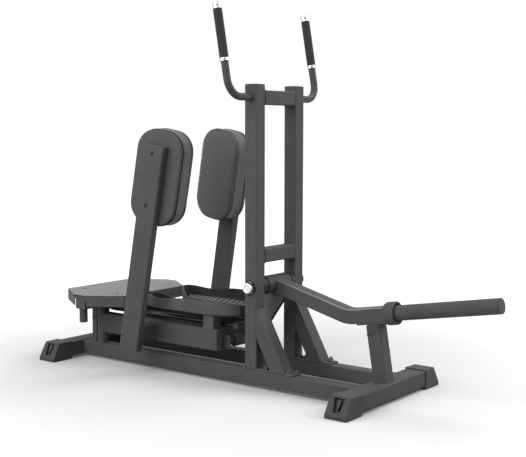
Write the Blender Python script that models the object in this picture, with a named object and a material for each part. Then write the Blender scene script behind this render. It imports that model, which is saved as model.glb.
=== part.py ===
"""Standing hip abductor machine, plate loaded.

Metres, +Z up, +X forward along the weight horn, +Y to the machine's left.
Sizes are given from the front face of the uprights; the whole machine is then set on the
centre of its own footprint, so the origin lies on the floor under the middle of the machine.
"""

import math

import bmesh
import bpy
from mathutils import Matrix, Vector

# Facets round a full turn
ROUND = 32
SMALL_ROUND = 20

# Fits
FIT = 0.0003
RUNNING_GAP = 0.0003
OPEN_PIVOT_GAP = 0.0040

# Square tube of the frame
TUBE = 0.0500
TUBE_CORNER = 0.0045

# Base: two long rails between two crossbars that stand on four foot caps
FRAME_WIDTH = 0.2732
RAIL_BOTTOM = 0.0120
CROSSBAR_DEPTH = 0.0748
CROSSBAR_HEIGHT = 0.0540
CROSSBAR_BOTTOM = 0.0100
FRONT_CROSSBAR_X = 0.4228
REAR_CROSSBAR_X = -0.8825
BASE_HALF_WIDTH = 0.2936
FOOT_CAP_LENGTH = 0.0924
FOOT_CAP_WALL = 0.0040
FOOT_CAP_SOCKET = 0.0450
FOOT_CAP_RAKE = 0.0300
FOOT_CAP_TOE = 0.0120
FOOT_CAP_ROUNDING = 0.0035
FOOT_RECESS_DEPTH = 0.0120

# Uprights, braces and cross tubes
UPRIGHT_TOP = 1.0227
UPRIGHT_CAP = 0.0030
BASE_PLATE = 0.0060
BASE_PLATE_FRONT = 0.1520
BASE_PLATE_REAR = 0.0600
BRACE_ANGLE = math.radians(61.2)
BRACE_FOOT = 0.1165
BRACE_TOP_WIDTH = 0.0045
CROSS_TUBE = 0.0480
TOP_CROSS_Z = 0.9820
MIDDLE_CROSS_Z = 0.4490

# Handles
HANDLE_DIAMETER = 0.0250
HANDLE_OUT = 0.2470
HANDLE_BEND = 0.0570
HANDLE_LEAN = math.radians(10.0)
HANDLE_BACK = 0.0243
RING_HEIGHT = 1.0945
RING_LENGTH = 0.0100
RING_DIAMETER = 0.0320
GRIP_LENGTH = 0.1610
GRIP_DIAMETER = 0.0300
HANDLE_CAP_LENGTH = 0.0225

# Lever: pivot tube, cranked beam, crank plate and weight horn
LEVER_X = -0.0256
LEVER_Z = 0.3436
AXLE_DIAMETER = 0.0300
AXLE_CAP_DIAMETER = 0.0370
AXLE_CAP_LENGTH = 0.0205
PIVOT_TUBE_DIAMETER = 0.0640
PIVOT_TUBE_LENGTH = 0.1240
PIVOT_COLLAR_DIAMETER = 0.0520
LEVER_DROP = math.radians(14.5)
LEVER_LENGTH = 0.3244
LEVER_BEND = 0.1000
HORN_RISE = math.radians(9.6)
COLLAR_AT = 0.1435
COLLAR_LENGTH = 0.0375
COLLAR_DIAMETER = 0.0755
COLLAR_RECESS = 0.0120
HORN_DIAMETER = 0.0500
HORN_REACH = 0.5340
HORN_CAP_LENGTH = 0.0060
HORN_CAP_ROUNDING = 0.0030
CONTACT_PLATE = 0.0050
CONTACT_PLATE_LENGTH = 0.1080
CONTACT_PLATE_WIDTH = 0.0460
CRANK_THICKNESS = 0.0160
CRANK_PIN_X = -0.1350
CRANK_PIN_Z = 0.1900
CRANK_HUB_DIAMETER = 0.0360
CRANK_PIN_DIAMETER = 0.0160
CRANK_HEEL_X = -0.0520
CRANK_HEEL_Z = 0.1920
CRANK_FRONT_X = 0.0280

# Bumper post that the lever rests on
BUMPER_POST_X = 0.4175
BUMPER_CAP = 0.0350

# Rear platform, its columns and the arms' outer stops
PLATFORM_TOP = 0.2625
PLATFORM_SHEET = 0.0030
PLATFORM_LIP = 0.0420
PLATFORM_RELIEF = 0.0080
PLATFORM_REAR_X = -0.9000
PLATFORM_FRONT_X = -0.5950
PLATFORM_END_REAR_X = -0.7680
PLATFORM_END_FRONT_X = -0.7145
PLATFORM_CORNER_Y = 0.1645
PLATFORM_END_Y = 0.2510
PLATFORM_TUBE_X = -0.7400
PLATFORM_TUBE_REACH = 0.2465
COLUMN_X = -0.8070
COLUMN_DEPTH = 0.0260
COLUMN_WIDTH = 0.0300
STOP_Y = 0.2330
STOP_DIAMETER = 0.0300
STOP_LENGTH = 0.0500

# Swing arms
ARM_X = -0.7620
ARM_Y = 0.1120
SHAFT_DIAMETER = 0.0250
SLEEVE_DIAMETER = 0.0420
SLEEVE_BOTTOM = 0.0700
SLEEVE_TOP = 0.2000
SHAFT_FLANGE_DIAMETER = 0.0400
LUG_RADIUS = 0.0480
LUG_ANGLE = math.radians(31.0)
LUG_WIDTH = 0.0260
LUG_PLATE = 0.0080
LUG_PIN_DIAMETER = 0.0100
LUG_HEAD_DIAMETER = 0.0260
LUG_HEAD = 0.0060
LUG_GAP_BELOW = 0.0035
LUG_GAP_ABOVE = 0.0030
ARM_BEAM_WIDTH = 0.0400
ARM_BEAM_HEIGHT = 0.0750
ARM_BEAM_BOTTOM = 0.1040
ARM_BEAM_FRONT = -0.1770
BUFFER_X = -0.1720
BUFFER_Z = 0.1310
BUFFER_DIAMETER = 0.0440
BUFFER_RUBBER = 0.0440
BUFFER_STEM_DIAMETER = 0.0140
BUFFER_NUT_DIAMETER = 0.0240
BUFFER_NUT = 0.0100
BRACKET_PLATE = 0.0060
BRACKET_LAP = 0.0500
BRACKET_BOTTOM = 0.1080
BRACKET_TOP = 0.1570
BRACKET_FRONT = -0.1505

# Tie rods from the arms' lugs to the crank pin
ROD_DIAMETER = 0.0200
ROD_SHANK = 0.0100
ROD_SHANK_DIAMETER = 0.0110
ROD_EYE_WIDTH = 0.0140
ROD_FRONT_EYE = 0.0290
ROD_REAR_EYE = 0.0340
ROD_REAR_EYE_HEIGHT = 0.0120

# Foot pedals
PEDAL_UNDERSIDE = 0.2290
PEDAL_FLOOR = 0.2420
PEDAL_WALL = 0.0050
PEDAL_REAR = -0.5320
PEDAL_TOE = -0.1000
PEDAL_INNER = 0.0200
PEDAL_OUTER = 0.1500
PEDAL_EDGE = 0.0015
PEDAL_RISE = 0.0355
PEDAL_CHAMFER = 0.0050
PEDAL_TUCK = 0.0100
PEDAL_COVE = 0.0090
PEDAL_LEG = 0.0470
PEDAL_LEG_FRONT = -0.1940

# Pad posts and thigh pads
POST_DEPTH = 0.0780
POST_WIDTH = 0.0320
POST_X = -0.4251
POST_Y = 0.2303
POST_Z = 0.4900
POST_TOE_IN = math.radians(8.06)
POST_LEAN = 0.1737
POST_DRAW_IN = 0.0160
POST_BOTTOM = 0.0900
POST_TOP = 0.8200
POST_BOLT_UPPER = 0.7900
POST_BOLT_LOWER = 0.6100
POST_BOLT_BORE = 0.0170
POST_BOLT_SUNK = 0.0065
STUB_X = -0.4850
STUB_Z = 0.1415
PAD_Z = 0.7060
PAD_WIDTH = 0.1950
PAD_LENGTH = 0.3450
PAD_CORNER = 0.0780
BOARD_THICKNESS = 0.0150
BOARD_MARGIN = 0.0050
CUSHION_THICKNESS = 0.0600
CUSHION_CROWN = 0.0040

# Values that follow from the sizes above
RAIL_Y = (FRAME_WIDTH - TUBE) / 2
RAIL_TOP = RAIL_BOTTOM + TUBE
UPRIGHT_X = -TUBE / 2
PLATE_TOP = RAIL_TOP + FIT + BASE_PLATE
CROSSBAR_TOP = CROSSBAR_BOTTOM + CROSSBAR_HEIGHT
FOOT_CAP_INNER = BASE_HALF_WIDTH - FOOT_CAP_LENGTH
CROSSBAR_REACH = FOOT_CAP_INNER + FOOT_CAP_SOCKET - FIT
FOOT_CAP_DEPTH = CROSSBAR_DEPTH + 2 * FOOT_CAP_WALL
ARM_BEAM_Z = ARM_BEAM_BOTTOM + ARM_BEAM_HEIGHT / 2
PLATFORM_TUBE_TOP = PLATFORM_TOP - PLATFORM_SHEET - FIT
PLATFORM_TUBE_BOTTOM = PLATFORM_TUBE_TOP - TUBE
LUG_MIDDLE = LUG_RADIUS * (1 + math.cos(LUG_ANGLE)) / 2
ROD_Y = ARM_Y - LUG_MIDDLE
SIDES = {"left": 1, "right": -1}
ASKEW = (0.31, 0.52, 0.79)  # a direction that no axis in the machine follows


def make_material(name, colour, roughness, metallic):
    material = bpy.data.materials.new(name)
    material.use_nodes = True
    shader = material.node_tree.nodes["Principled BSDF"]
    shader.inputs["Base Color"].default_value = (*colour, 1.0)
    shader.inputs["Roughness"].default_value = roughness
    shader.inputs["Metallic"].default_value = metallic
    material.diffuse_color = (*colour, 1.0)
    return material


def add_empty(name, location, parent=None):
    empty = bpy.data.objects.new(name, None)
    empty.location = location
    if parent:
        empty.parent = parent
        empty.matrix_parent_inverse = Matrix.Translation(-place_of(parent))
    bpy.context.scene.collection.objects.link(empty)
    return empty


def place_of(empty):
    return Vector(empty.location)


def add_object(name, bm, material, parent, side=1):
    """Make a named piece from a bmesh built on the machine's left; side -1 mirrors it."""
    bmesh.ops.scale(bm, vec=(1, side, 1), verts=bm.verts)
    bmesh.ops.recalc_face_normals(bm, faces=bm.faces)
    mesh = bpy.data.meshes.new(name)
    bm.to_mesh(mesh)
    bm.free()
    mesh.shade_smooth()
    mesh.set_sharp_from_angle(angle=math.radians(32))
    mesh.materials.append(material)
    piece = bpy.data.objects.new(name, mesh)
    piece.parent = parent
    piece.matrix_parent_inverse = Matrix.Translation(-place_of(parent))
    bpy.context.scene.collection.objects.link(piece)
    return piece


def add_boolean(piece, operation, bm, side=1):
    """Join another shape to a piece, or cut one from it."""
    name = f"{piece.name}.{operation.lower()}.{len(piece.modifiers)}"
    other = add_object(name, bm, piece.data.materials[0], piece.parent, side)
    other.hide_render = True
    other.display_type = "WIRE"
    modifier = piece.modifiers.new(name, "BOOLEAN")
    modifier.operation = operation
    modifier.solver = "EXACT"
    modifier.object = other


def rounded_rectangle(width, height, radius, steps=3):
    """Closed loop of a rectangle with round corners, counterclockwise from its lower right."""
    loop = []
    for quarter, (sx, sy) in enumerate(((1, -1), (1, 1), (-1, 1), (-1, -1))):
        for step in range(steps + 1):
            angle = math.radians(90 * (quarter - 1) + 90 * step / steps)
            x = sx * (width / 2 - radius) + radius * math.cos(angle)
            y = sy * (height / 2 - radius) + radius * math.sin(angle)
            loop.append((x, y))
    return loop


def circle(diameter, steps=ROUND):
    turn = 2 * math.pi / steps
    return [(diameter / 2 * math.cos(i * turn), diameter / 2 * math.sin(i * turn)) for i in range(steps)]


def station(point, along, up):
    """Place for a section: its own x goes sideways, its y goes up, its z goes along."""
    along = Vector(along).normalized()
    sideways = Vector(up).cross(along).normalized()
    upward = along.cross(sideways)
    matrix = Matrix((sideways, upward, along)).transposed().to_4x4()
    matrix.translation = point
    return matrix


def bridge(bm, first, second):
    """Faces between two rings; a ring of one vertex is a pole."""
    count = max(len(first), len(second))
    for i in range(count):
        j = (i + 1) % count
        corners = [first[i % len(first)], first[j % len(first)]]
        corners += [second[j % len(second)], second[i % len(second)]]
        bm.faces.new(list(dict.fromkeys(corners)))


def sweep(loops, stations):
    """Solid through a loop placed at each station, or through one loop for each."""
    bm = bmesh.new()
    if not isinstance(loops[0], list):
        loops = [loops] * len(stations)
    outer = [[bm.verts.new(m @ Vector((x, y, 0))) for x, y in loop] for m, loop in zip(stations, loops)]
    for first, second in zip(outer, outer[1:]):
        bridge(bm, first, second)
    bm.faces.new(outer[0])
    bm.faces.new(outer[-1])
    return bm


def straight(loop, start, end, up):
    along = Vector(end) - Vector(start)
    return sweep(loop, [station(start, along, up), station(end, along, up)])


def square_tube(start, end, up, width=TUBE, height=TUBE):
    """Closed tube, filled because nothing opens into it."""
    return straight(rounded_rectangle(width, height, TUBE_CORNER), start, end, up)


def revolve(profile, place, steps=ROUND, ring=False):
    """Turn (radius, height) points about the place's own z; ring joins the last to the first."""
    bm = bmesh.new()
    rows = []
    for radius, height in profile:
        points = circle(2 * radius, steps) if radius > 0 else [(0, 0)]
        rows.append([bm.verts.new(place @ Vector((x, y, height))) for x, y in points])
    for first, second in zip(rows, rows[1:]):
        bridge(bm, first, second)
    if ring:
        bridge(bm, rows[-1], rows[0])
    return bm


def cylinder(diameter, start, end, steps=ROUND):
    return straight(circle(diameter, steps), start, end, ASKEW)


def plate(outline, y_low, y_high):
    """Plate from an outline in X and Z, between two values of Y."""
    bm = bmesh.new()
    near = [bm.verts.new((x, y_low, z)) for x, z in outline]
    far = [bm.verts.new((x, y_high, z)) for x, z in outline]
    bm.faces.new(near)
    bm.faces.new(far)
    bridge(bm, near, far)
    return bm


def box(low, high):
    middle_y = (low[1] + high[1]) / 2
    middle_z = (low[2] + high[2]) / 2
    loop = [(x, y) for x, y in ((-1, -1), (1, -1), (1, 1), (-1, 1))]
    loop = [(x * (high[1] - low[1]) / 2, y * (high[2] - low[2]) / 2) for x, y in loop]
    return straight(loop, (low[0], middle_y, middle_z), (high[0], middle_y, middle_z), (0, 0, 1))


def arc(centre, radius, start, end, steps):
    """Points on a circle in the X, Z plane, from one angle to another."""
    points = []
    for step in range(steps + 1):
        angle = start + (end - start) * step / steps
        points.append((centre[0] + radius * math.cos(angle), centre[1] + radius * math.sin(angle)))
    return points


def closed_curve(knots, steps):
    """Smooth closed curve through knots of any dimension, as a Catmull-Rom spline."""
    points = []
    count = len(knots)
    for i in range(count):
        a, b, c, d = (Vector(knots[(i + k) % count]) for k in (-1, 0, 1, 2))
        for step in range(steps):
            t = step / steps
            tangent = (c - a) * t
            bend = (2 * a - 5 * b + 4 * c - d) * t**2
            twist = (3 * b - a - 3 * c + d) * t**3
            points.append(b + (tangent + bend + twist) / 2)
    return points


def build_base(root, paint, rubber):
    for word, x in (("front", FRONT_CROSSBAR_X), ("rear", REAR_CROSSBAR_X)):
        z = CROSSBAR_BOTTOM + CROSSBAR_HEIGHT / 2
        start = (x, -CROSSBAR_REACH, z)
        end = (x, CROSSBAR_REACH, z)
        bm = square_tube(start, end, (0, 0, 1), CROSSBAR_DEPTH, CROSSBAR_HEIGHT)
        add_object(f"crossbar_{word}", bm, paint, root)
        for side_word, side in SIDES.items():
            build_foot_cap(f"foot_cap_{word}_{side_word}", x, root, rubber, side)
    rear = REAR_CROSSBAR_X + CROSSBAR_DEPTH / 2 + FIT
    front = FRONT_CROSSBAR_X - CROSSBAR_DEPTH / 2 - FIT
    z = RAIL_BOTTOM + TUBE / 2
    for word, side in SIDES.items():
        bm = square_tube((rear, RAIL_Y, z), (front, RAIL_Y, z), (0, 0, 1))
        add_object(f"rail_{word}", bm, paint, root, side)


def build_foot_cap(name, x, root, rubber, side):
    """Sleeve over the crossbar's end with a raked face; its sole is the lowest point."""
    top = CROSSBAR_TOP + FOOT_CAP_WALL
    half = FOOT_CAP_DEPTH / 2
    shoulder = BASE_HALF_WIDTH - FOOT_CAP_RAKE
    narrow = half - FOOT_CAP_WALL
    bm = bmesh.new()
    corners = [(half, FOOT_CAP_INNER, 0), (half, BASE_HALF_WIDTH, 0)]
    corners += [(half, BASE_HALF_WIDTH, FOOT_CAP_TOE), (narrow, shoulder, top), (half, FOOT_CAP_INNER, top)]
    ahead = [bm.verts.new((x + dx, y, z)) for dx, y, z in corners]
    behind = [bm.verts.new((x - dx, y, z)) for dx, y, z in corners]
    for ring in (ahead, behind):
        bm.faces.new((ring[0], ring[1], ring[2]))
        bm.faces.new((ring[0], ring[2], ring[3]))
        bm.faces.new((ring[0], ring[3], ring[4]))
    bridge(bm, ahead, behind)
    cap = add_object(name, bm, rubber, root, side)
    rounding = cap.modifiers.new("rounding", "BEVEL")
    rounding.width = FOOT_CAP_ROUNDING
    rounding.segments = 2
    rounding.limit_method = "ANGLE"
    rounding.angle_limit = math.radians(30)
    z = CROSSBAR_BOTTOM + CROSSBAR_HEIGHT / 2
    end = FOOT_CAP_INNER + FOOT_CAP_SOCKET
    before = FOOT_CAP_INNER - FOOT_CAP_SOCKET
    loop = rounded_rectangle(CROSSBAR_DEPTH + 2 * FIT, CROSSBAR_HEIGHT + 2 * FIT, TUBE_CORNER + FIT)
    add_boolean(cap, "DIFFERENCE", straight(loop, (x, before, z), (x, end, z), (0, 0, 1)), side)
    add_boolean(cap, "DIFFERENCE", foot_recess(x, top, shoulder), side)


def foot_recess(x, top, shoulder):
    """Tapered slot that runs down the raked face, wider at its top."""
    rake = math.atan2(FOOT_CAP_RAKE, top - FOOT_CAP_TOE)
    down = Vector((0, math.sin(rake), -math.cos(rake)))
    outward = Vector((0, math.cos(rake), math.sin(rake)))
    length = (top - FOOT_CAP_TOE) / math.cos(rake)
    upper = Vector((x, shoulder, top)) + 0.08 * length * down - FOOT_RECESS_DEPTH * outward
    lower = upper + 0.74 * length * down
    wide = FOOT_CAP_DEPTH * 0.46
    slim = FOOT_CAP_DEPTH * 0.30
    height = 2 * FOOT_RECESS_DEPTH
    loops = [[(-w / 2, 0), (w / 2, 0), (w / 2, height), (-w / 2, height)] for w in (wide, slim)]
    return sweep(loops, [station(upper, down, outward), station(lower, down, outward)])


def build_uprights(root, paint, plastic):
    for word, side in SIDES.items():
        bm = square_tube((UPRIGHT_X, RAIL_Y, PLATE_TOP - BASE_PLATE / 2), (UPRIGHT_X, RAIL_Y, UPRIGHT_TOP), (1, 0, 0))
        upright = add_object(f"upright_{word}", bm, paint, root, side)
        half = TUBE / 2 - FIT
        low = (-BASE_PLATE_REAR, RAIL_Y - half, RAIL_TOP + FIT)
        high = (BASE_PLATE_FRONT, RAIL_Y + half, PLATE_TOP)
        add_boolean(upright, "UNION", box(low, high), side)
        base = Vector((UPRIGHT_X, RAIL_Y, UPRIGHT_TOP + FIT))
        steps = ((0.0, 0.0), (0.0, 0.4), (0.0015, 0.8), (0.0045, 1.0))
        loops = [rounded_rectangle(TUBE - 2 * inset, TUBE - 2 * inset, TUBE_CORNER) for inset, _ in steps]
        places = [station(base + Vector((0, 0, rise * UPRIGHT_CAP)), (0, 0, 1), (1, 0, 0)) for _, rise in steps]
        add_object(f"upright_cap_{word}", sweep(loops, places), plastic, root, side)
        add_object(f"brace_{word}", brace_shape(), paint, root, side)
    reach = RAIL_Y - TUBE / 2 - FIT
    for word, z in (("top", TOP_CROSS_Z), ("middle", MIDDLE_CROSS_Z)):
        bm = square_tube((UPRIGHT_X, -reach, z), (UPRIGHT_X, reach, z), (0, 0, 1), TUBE, CROSS_TUBE)
        add_object(f"cross_tube_{word}", bm, paint, root)


def brace_shape():
    """Raking tube whose ends are cut to the base plate and to the upright's front face."""
    slope = math.tan(BRACE_ANGLE)
    depth = TUBE / math.sin(BRACE_ANGLE)
    foot_z = PLATE_TOP + FIT
    front_top = foot_z + (BRACE_FOOT - BRACE_TOP_WIDTH) * slope
    rear_top = foot_z + (BRACE_FOOT - depth - FIT) * slope
    outline = [(FIT, rear_top), (BRACE_FOOT - depth, foot_z), (BRACE_FOOT, foot_z)]
    outline += [(BRACE_TOP_WIDTH, front_top), (FIT, front_top - (BRACE_TOP_WIDTH - FIT) / slope)]
    return plate(outline, RAIL_Y - TUBE / 2, RAIL_Y + TUBE / 2)


def handle_path():
    """Centre line of a handle: out of the upright, round one bend, then up and leaning back."""
    lean = Vector((-math.sin(HANDLE_LEAN), 0, math.cos(HANDLE_LEAN)))
    outward = Vector((0, 1, 0))
    root_point = Vector((-HANDLE_BACK, FRAME_WIDTH / 2 + FIT, TOP_CROSS_Z))
    corner = Vector((-HANDLE_BACK, HANDLE_OUT, TOP_CROSS_Z))
    centre = corner + HANDLE_BEND * (lean - outward)
    bend = []
    for step in range(13):
        angle = math.radians(90) * step / 12
        point = centre + HANDLE_BEND * (math.sin(angle) * outward - math.cos(angle) * lean)
        bend.append((point, math.cos(angle) * outward + math.sin(angle) * lean))
    return root_point, bend, corner, lean


def build_handles(root, paint, foam, polished):
    start, bend, corner, lean = handle_path()
    back = Vector((-1, 0, 0))
    ring_at = (RING_HEIGHT - corner.z) / lean.z
    grip_at = ring_at + RING_LENGTH + FIT
    cap_at = grip_at + GRIP_LENGTH + FIT
    end = corner + lean * (cap_at + HANDLE_CAP_LENGTH / 2)
    line = [(start, Vector((0, 1, 0)))] + bend + [(end, lean)]
    places = [station(point, along, back) for point, along in line]
    bore = HANDLE_DIAMETER + 2 * FIT
    for word, side in SIDES.items():
        bm = sweep(circle(HANDLE_DIAMETER, SMALL_ROUND), places)
        add_object(f"handle_tube_{word}", bm, paint, root, side)
        place = station(corner + lean * ring_at, lean, back)
        turned = [(bore / 2, 0), (RING_DIAMETER / 2, 0), (RING_DIAMETER / 2, RING_LENGTH), (bore / 2, RING_LENGTH)]
        add_object(f"handle_ring_{word}", revolve(turned, place, SMALL_ROUND, True), polished, root, side)
        place = station(corner + lean * grip_at, lean, back)
        edge = GRIP_DIAMETER / 2
        turned = [(bore / 2, 0), (edge - 0.0015, 0), (edge, 0.0015), (edge, GRIP_LENGTH - 0.0015)]
        turned += [(edge - 0.0015, GRIP_LENGTH), (bore / 2, GRIP_LENGTH)]
        add_object(f"handle_grip_{word}", revolve(turned, place, SMALL_ROUND, True), foam, root, side)
        place = station(corner + lean * cap_at, lean, back)
        deep = HANDLE_CAP_LENGTH / 2 + FIT
        turned = [(0, deep), (bore / 2, deep), (bore / 2, 0), (edge, 0), (edge, HANDLE_CAP_LENGTH - 0.0025)]
        turned += [(edge - 0.0008, HANDLE_CAP_LENGTH - 0.0007), (edge - 0.0025, HANDLE_CAP_LENGTH)]
        turned += [(0, HANDLE_CAP_LENGTH)]
        add_object(f"handle_cap_{word}", revolve(turned, place, SMALL_ROUND), polished, root, side)


def lever_line():
    """Key places on the lever's centre line, in X and Z, from its pivot to the horn's tip."""
    pivot = Vector((LEVER_X, 0, LEVER_Z))
    falling = Vector((math.cos(LEVER_DROP), 0, -math.sin(LEVER_DROP)))
    rising = Vector((math.cos(HORN_RISE), 0, math.sin(HORN_RISE)))
    knee = pivot + LEVER_LENGTH * falling
    return pivot, falling, rising, knee


def lever_stations(start, end):
    """Stations along the lever beam, from start on its first leg to end on its second."""
    pivot, falling, rising, knee = lever_line()
    turn = LEVER_DROP + HORN_RISE
    setback = LEVER_BEND * math.tan(turn / 2)
    up = Vector((math.sin(LEVER_DROP), 0, math.cos(LEVER_DROP)))
    centre = knee - setback * falling + LEVER_BEND * up
    places = [station(pivot + start * falling, falling, (0, 0, 1))]
    for step in range(9):
        angle = -LEVER_DROP + turn * step / 8
        along = Vector((math.cos(angle), 0, math.sin(angle)))
        normal = Vector((-math.sin(angle), 0, math.cos(angle)))
        places.append(station(centre - LEVER_BEND * normal, along, (0, 0, 1)))
    places.append(station(knee + end * rising, rising, (0, 0, 1)))
    return places


def build_lever(lever, paint, steel, rubber):
    pivot, falling, rising, knee = lever_line()
    along_y = (0, 1, 0)
    place = station(pivot, along_y, (0, 0, 1))
    inner = FRAME_WIDTH / 2 - TUBE - FIT
    bore = AXLE_DIAMETER / 2 + RUNNING_GAP
    half = PIVOT_TUBE_LENGTH / 2
    wide = PIVOT_TUBE_DIAMETER / 2
    slim = PIVOT_COLLAR_DIAMETER / 2
    lip = (inner - half) * 0.45
    side_profile = [(bore, inner), (slim + 0.0030, inner), (slim + 0.0030, inner - lip), (slim, inner - lip)]
    side_profile += [(slim, half), (wide - 0.0020, half), (wide, half - 0.0020)]
    profile = side_profile + [(radius, -y) for radius, y in reversed(side_profile)]
    add_object("lever_pivot_tube", revolve(profile, place, ring=True), paint, lever)

    around_tube = cylinder(PIVOT_TUBE_DIAMETER + 2 * FIT, (LEVER_X, -half, LEVER_Z), (LEVER_X, half, LEVER_Z))
    loop = rounded_rectangle(TUBE, TUBE, TUBE_CORNER)
    bm = sweep(loop, lever_stations(wide * 0.6, COLLAR_AT - FIT))
    beam = add_object("lever_beam", bm, paint, lever)
    add_boolean(beam, "DIFFERENCE", around_tube)

    build_crank(lever, paint, steel)

    down = Vector((math.sin(HORN_RISE), 0, -math.cos(HORN_RISE)))
    sunk = CONTACT_PLATE * 0.3
    middle = knee + down * (TUBE / 2 + (CONTACT_PLATE - sunk) / 2)
    end = middle + rising * (COLLAR_AT - 2 * FIT)
    start = end - rising * CONTACT_PLATE_LENGTH
    loop = rounded_rectangle(CONTACT_PLATE_WIDTH, CONTACT_PLATE + sunk, 0.0010, 1)
    add_boolean(beam, "UNION", straight(loop, start, end, (0, 0, 1)))

    place = station(knee + rising * COLLAR_AT, rising, (0, 0, 1))
    outer = COLLAR_DIAMETER / 2
    bore = HORN_DIAMETER / 2 + FIT
    profile = [(bore, 0), (outer - 0.0040, 0), (outer - 0.0012, 0.0012), (outer, 0.0040)]
    profile += [(outer, COLLAR_LENGTH - 0.0030), (outer - 0.0010, COLLAR_LENGTH - 0.0010)]
    profile += [(outer - 0.0030, COLLAR_LENGTH), (outer - 0.0060, COLLAR_LENGTH)]
    profile += [(outer - 0.0070, COLLAR_LENGTH - COLLAR_RECESS), (bore, COLLAR_LENGTH - COLLAR_RECESS)]
    add_object("horn_collar", revolve(profile, place, ring=True), paint, lever)

    radius = HORN_DIAMETER / 2
    length = HORN_REACH - COLLAR_AT
    add_object("weight_horn", revolve([(0, 0), (radius, 0), (radius, length), (0, length)], place), paint, lever)
    place = station(knee + rising * (HORN_REACH + FIT), rising, (0, 0, 1))
    shoulder = HORN_CAP_LENGTH - HORN_CAP_ROUNDING
    profile = [(0, 0), (radius, 0), (radius, shoulder), (radius - 0.3 * HORN_CAP_ROUNDING, shoulder + 0.7 * HORN_CAP_ROUNDING)]
    profile += [(radius - HORN_CAP_ROUNDING, HORN_CAP_LENGTH), (0, HORN_CAP_LENGTH)]
    add_object("horn_end_cap", revolve(profile, place), rubber, lever)


def crank_outline():
    """Crank plate in X and Z: round at the pin, then up to the pivot tube and the beam."""
    pivot, falling, _, _ = lever_line()
    pin = (CRANK_PIN_X, CRANK_PIN_Z)
    hub = CRANK_HUB_DIAMETER / 2
    heading = math.atan2(LEVER_Z - CRANK_PIN_Z, LEVER_X - CRANK_PIN_X)
    outline = arc(pin, hub, heading + math.radians(90), heading + math.radians(240), 10)
    outline += arc((CRANK_HEEL_X - 0.0180, CRANK_HEEL_Z + 0.0060), 0.0180, math.radians(-78), math.radians(-37), 4)
    under = pivot + (CRANK_FRONT_X - LEVER_X) / math.cos(LEVER_DROP) * falling
    outline += [(under.x, under.z - TUBE / 2), (under.x, under.z)]
    outline += [(pivot.x, pivot.z), (LEVER_X - PIVOT_TUBE_DIAMETER * 0.45, LEVER_Z - 0.0020)]
    return outline


def build_crank(lever, paint, steel):
    half = CRANK_THICKNESS / 2
    crank = add_object("crank_plate", plate(crank_outline(), -half, half), paint, lever)
    reach = PIVOT_TUBE_LENGTH / 2
    around_tube = cylinder(PIVOT_TUBE_DIAMETER + 2 * FIT, (LEVER_X, -reach, LEVER_Z), (LEVER_X, reach, LEVER_Z))
    add_boolean(crank, "DIFFERENCE", around_tube)
    side = TUBE + 2 * FIT
    loop = rounded_rectangle(side, side, TUBE_CORNER)
    add_boolean(crank, "DIFFERENCE", sweep(loop, lever_stations(0, COLLAR_AT)))
    ends = (CRANK_PIN_X, -half * 2, CRANK_PIN_Z), (CRANK_PIN_X, half * 2, CRANK_PIN_Z)
    add_boolean(crank, "DIFFERENCE", cylinder(CRANK_PIN_DIAMETER + 2 * FIT, *ends, SMALL_ROUND))
    place = station((CRANK_PIN_X, 0, CRANK_PIN_Z), (0, 1, 0), (0, 0, 1))
    radius = CRANK_PIN_DIAMETER / 2
    eye = ROD_EYE_WIDTH / 2 + FIT
    spacer = radius + 0.0040
    head = radius + 0.0045
    tip = ROD_Y + eye + 0.0070
    right = [(0, tip), (head - 0.0015, tip), (head, tip - 0.0015), (head, ROD_Y + eye), (radius, ROD_Y + eye)]
    right += [(radius, ROD_Y - eye), (spacer, ROD_Y - eye), (spacer, half + FIT), (radius, half + FIT)]
    profile = right + [(r, -y) for r, y in reversed(right)]
    add_object("crank_pin", revolve(profile, place, SMALL_ROUND), steel, lever)


def build_axle(root, steel, polished):
    reach = FRAME_WIDTH / 2
    axle = cylinder(AXLE_DIAMETER, (LEVER_X, -reach - 0.5 * AXLE_CAP_LENGTH, LEVER_Z),
                    (LEVER_X, reach + 0.5 * AXLE_CAP_LENGTH, LEVER_Z))
    add_object("lever_axle", axle, steel, root)
    bore = AXLE_DIAMETER / 2 + FIT
    edge = AXLE_CAP_DIAMETER / 2
    deep = 0.5 * AXLE_CAP_LENGTH
    for word, side in SIDES.items():
        place = station((LEVER_X, reach + FIT, LEVER_Z), (0, 1, 0), (0, 0, 1))
        profile = [(0, deep), (bore, deep), (bore, 0), (edge + 0.0025, 0), (edge + 0.0025, 0.0025), (edge, 0.0028)]
        profile += [(edge, AXLE_CAP_LENGTH - 0.0030), (edge - 0.0009, AXLE_CAP_LENGTH - 0.0009)]
        profile += [(edge - 0.0030, AXLE_CAP_LENGTH), (edge * 0.55, AXLE_CAP_LENGTH)]
        profile += [(edge * 0.52, AXLE_CAP_LENGTH - 0.0012), (edge * 0.36, AXLE_CAP_LENGTH - 0.0012)]
        profile += [(edge * 0.33, AXLE_CAP_LENGTH), (0, AXLE_CAP_LENGTH)]
        add_object(f"axle_cap_{word}", revolve(profile, place, SMALL_ROUND), polished, root, side)


def cut_uprights_for_axle():
    for word, side in SIDES.items():
        upright = bpy.data.objects[f"upright_{word}"]
        low = FRAME_WIDTH / 2 - 2 * TUBE
        high = FRAME_WIDTH / 2 + TUBE
        hole = cylinder(AXLE_DIAMETER + 2 * FIT, (LEVER_X, low, LEVER_Z), (LEVER_X, high, LEVER_Z))
        add_boolean(upright, "DIFFERENCE", hole, side)


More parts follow.
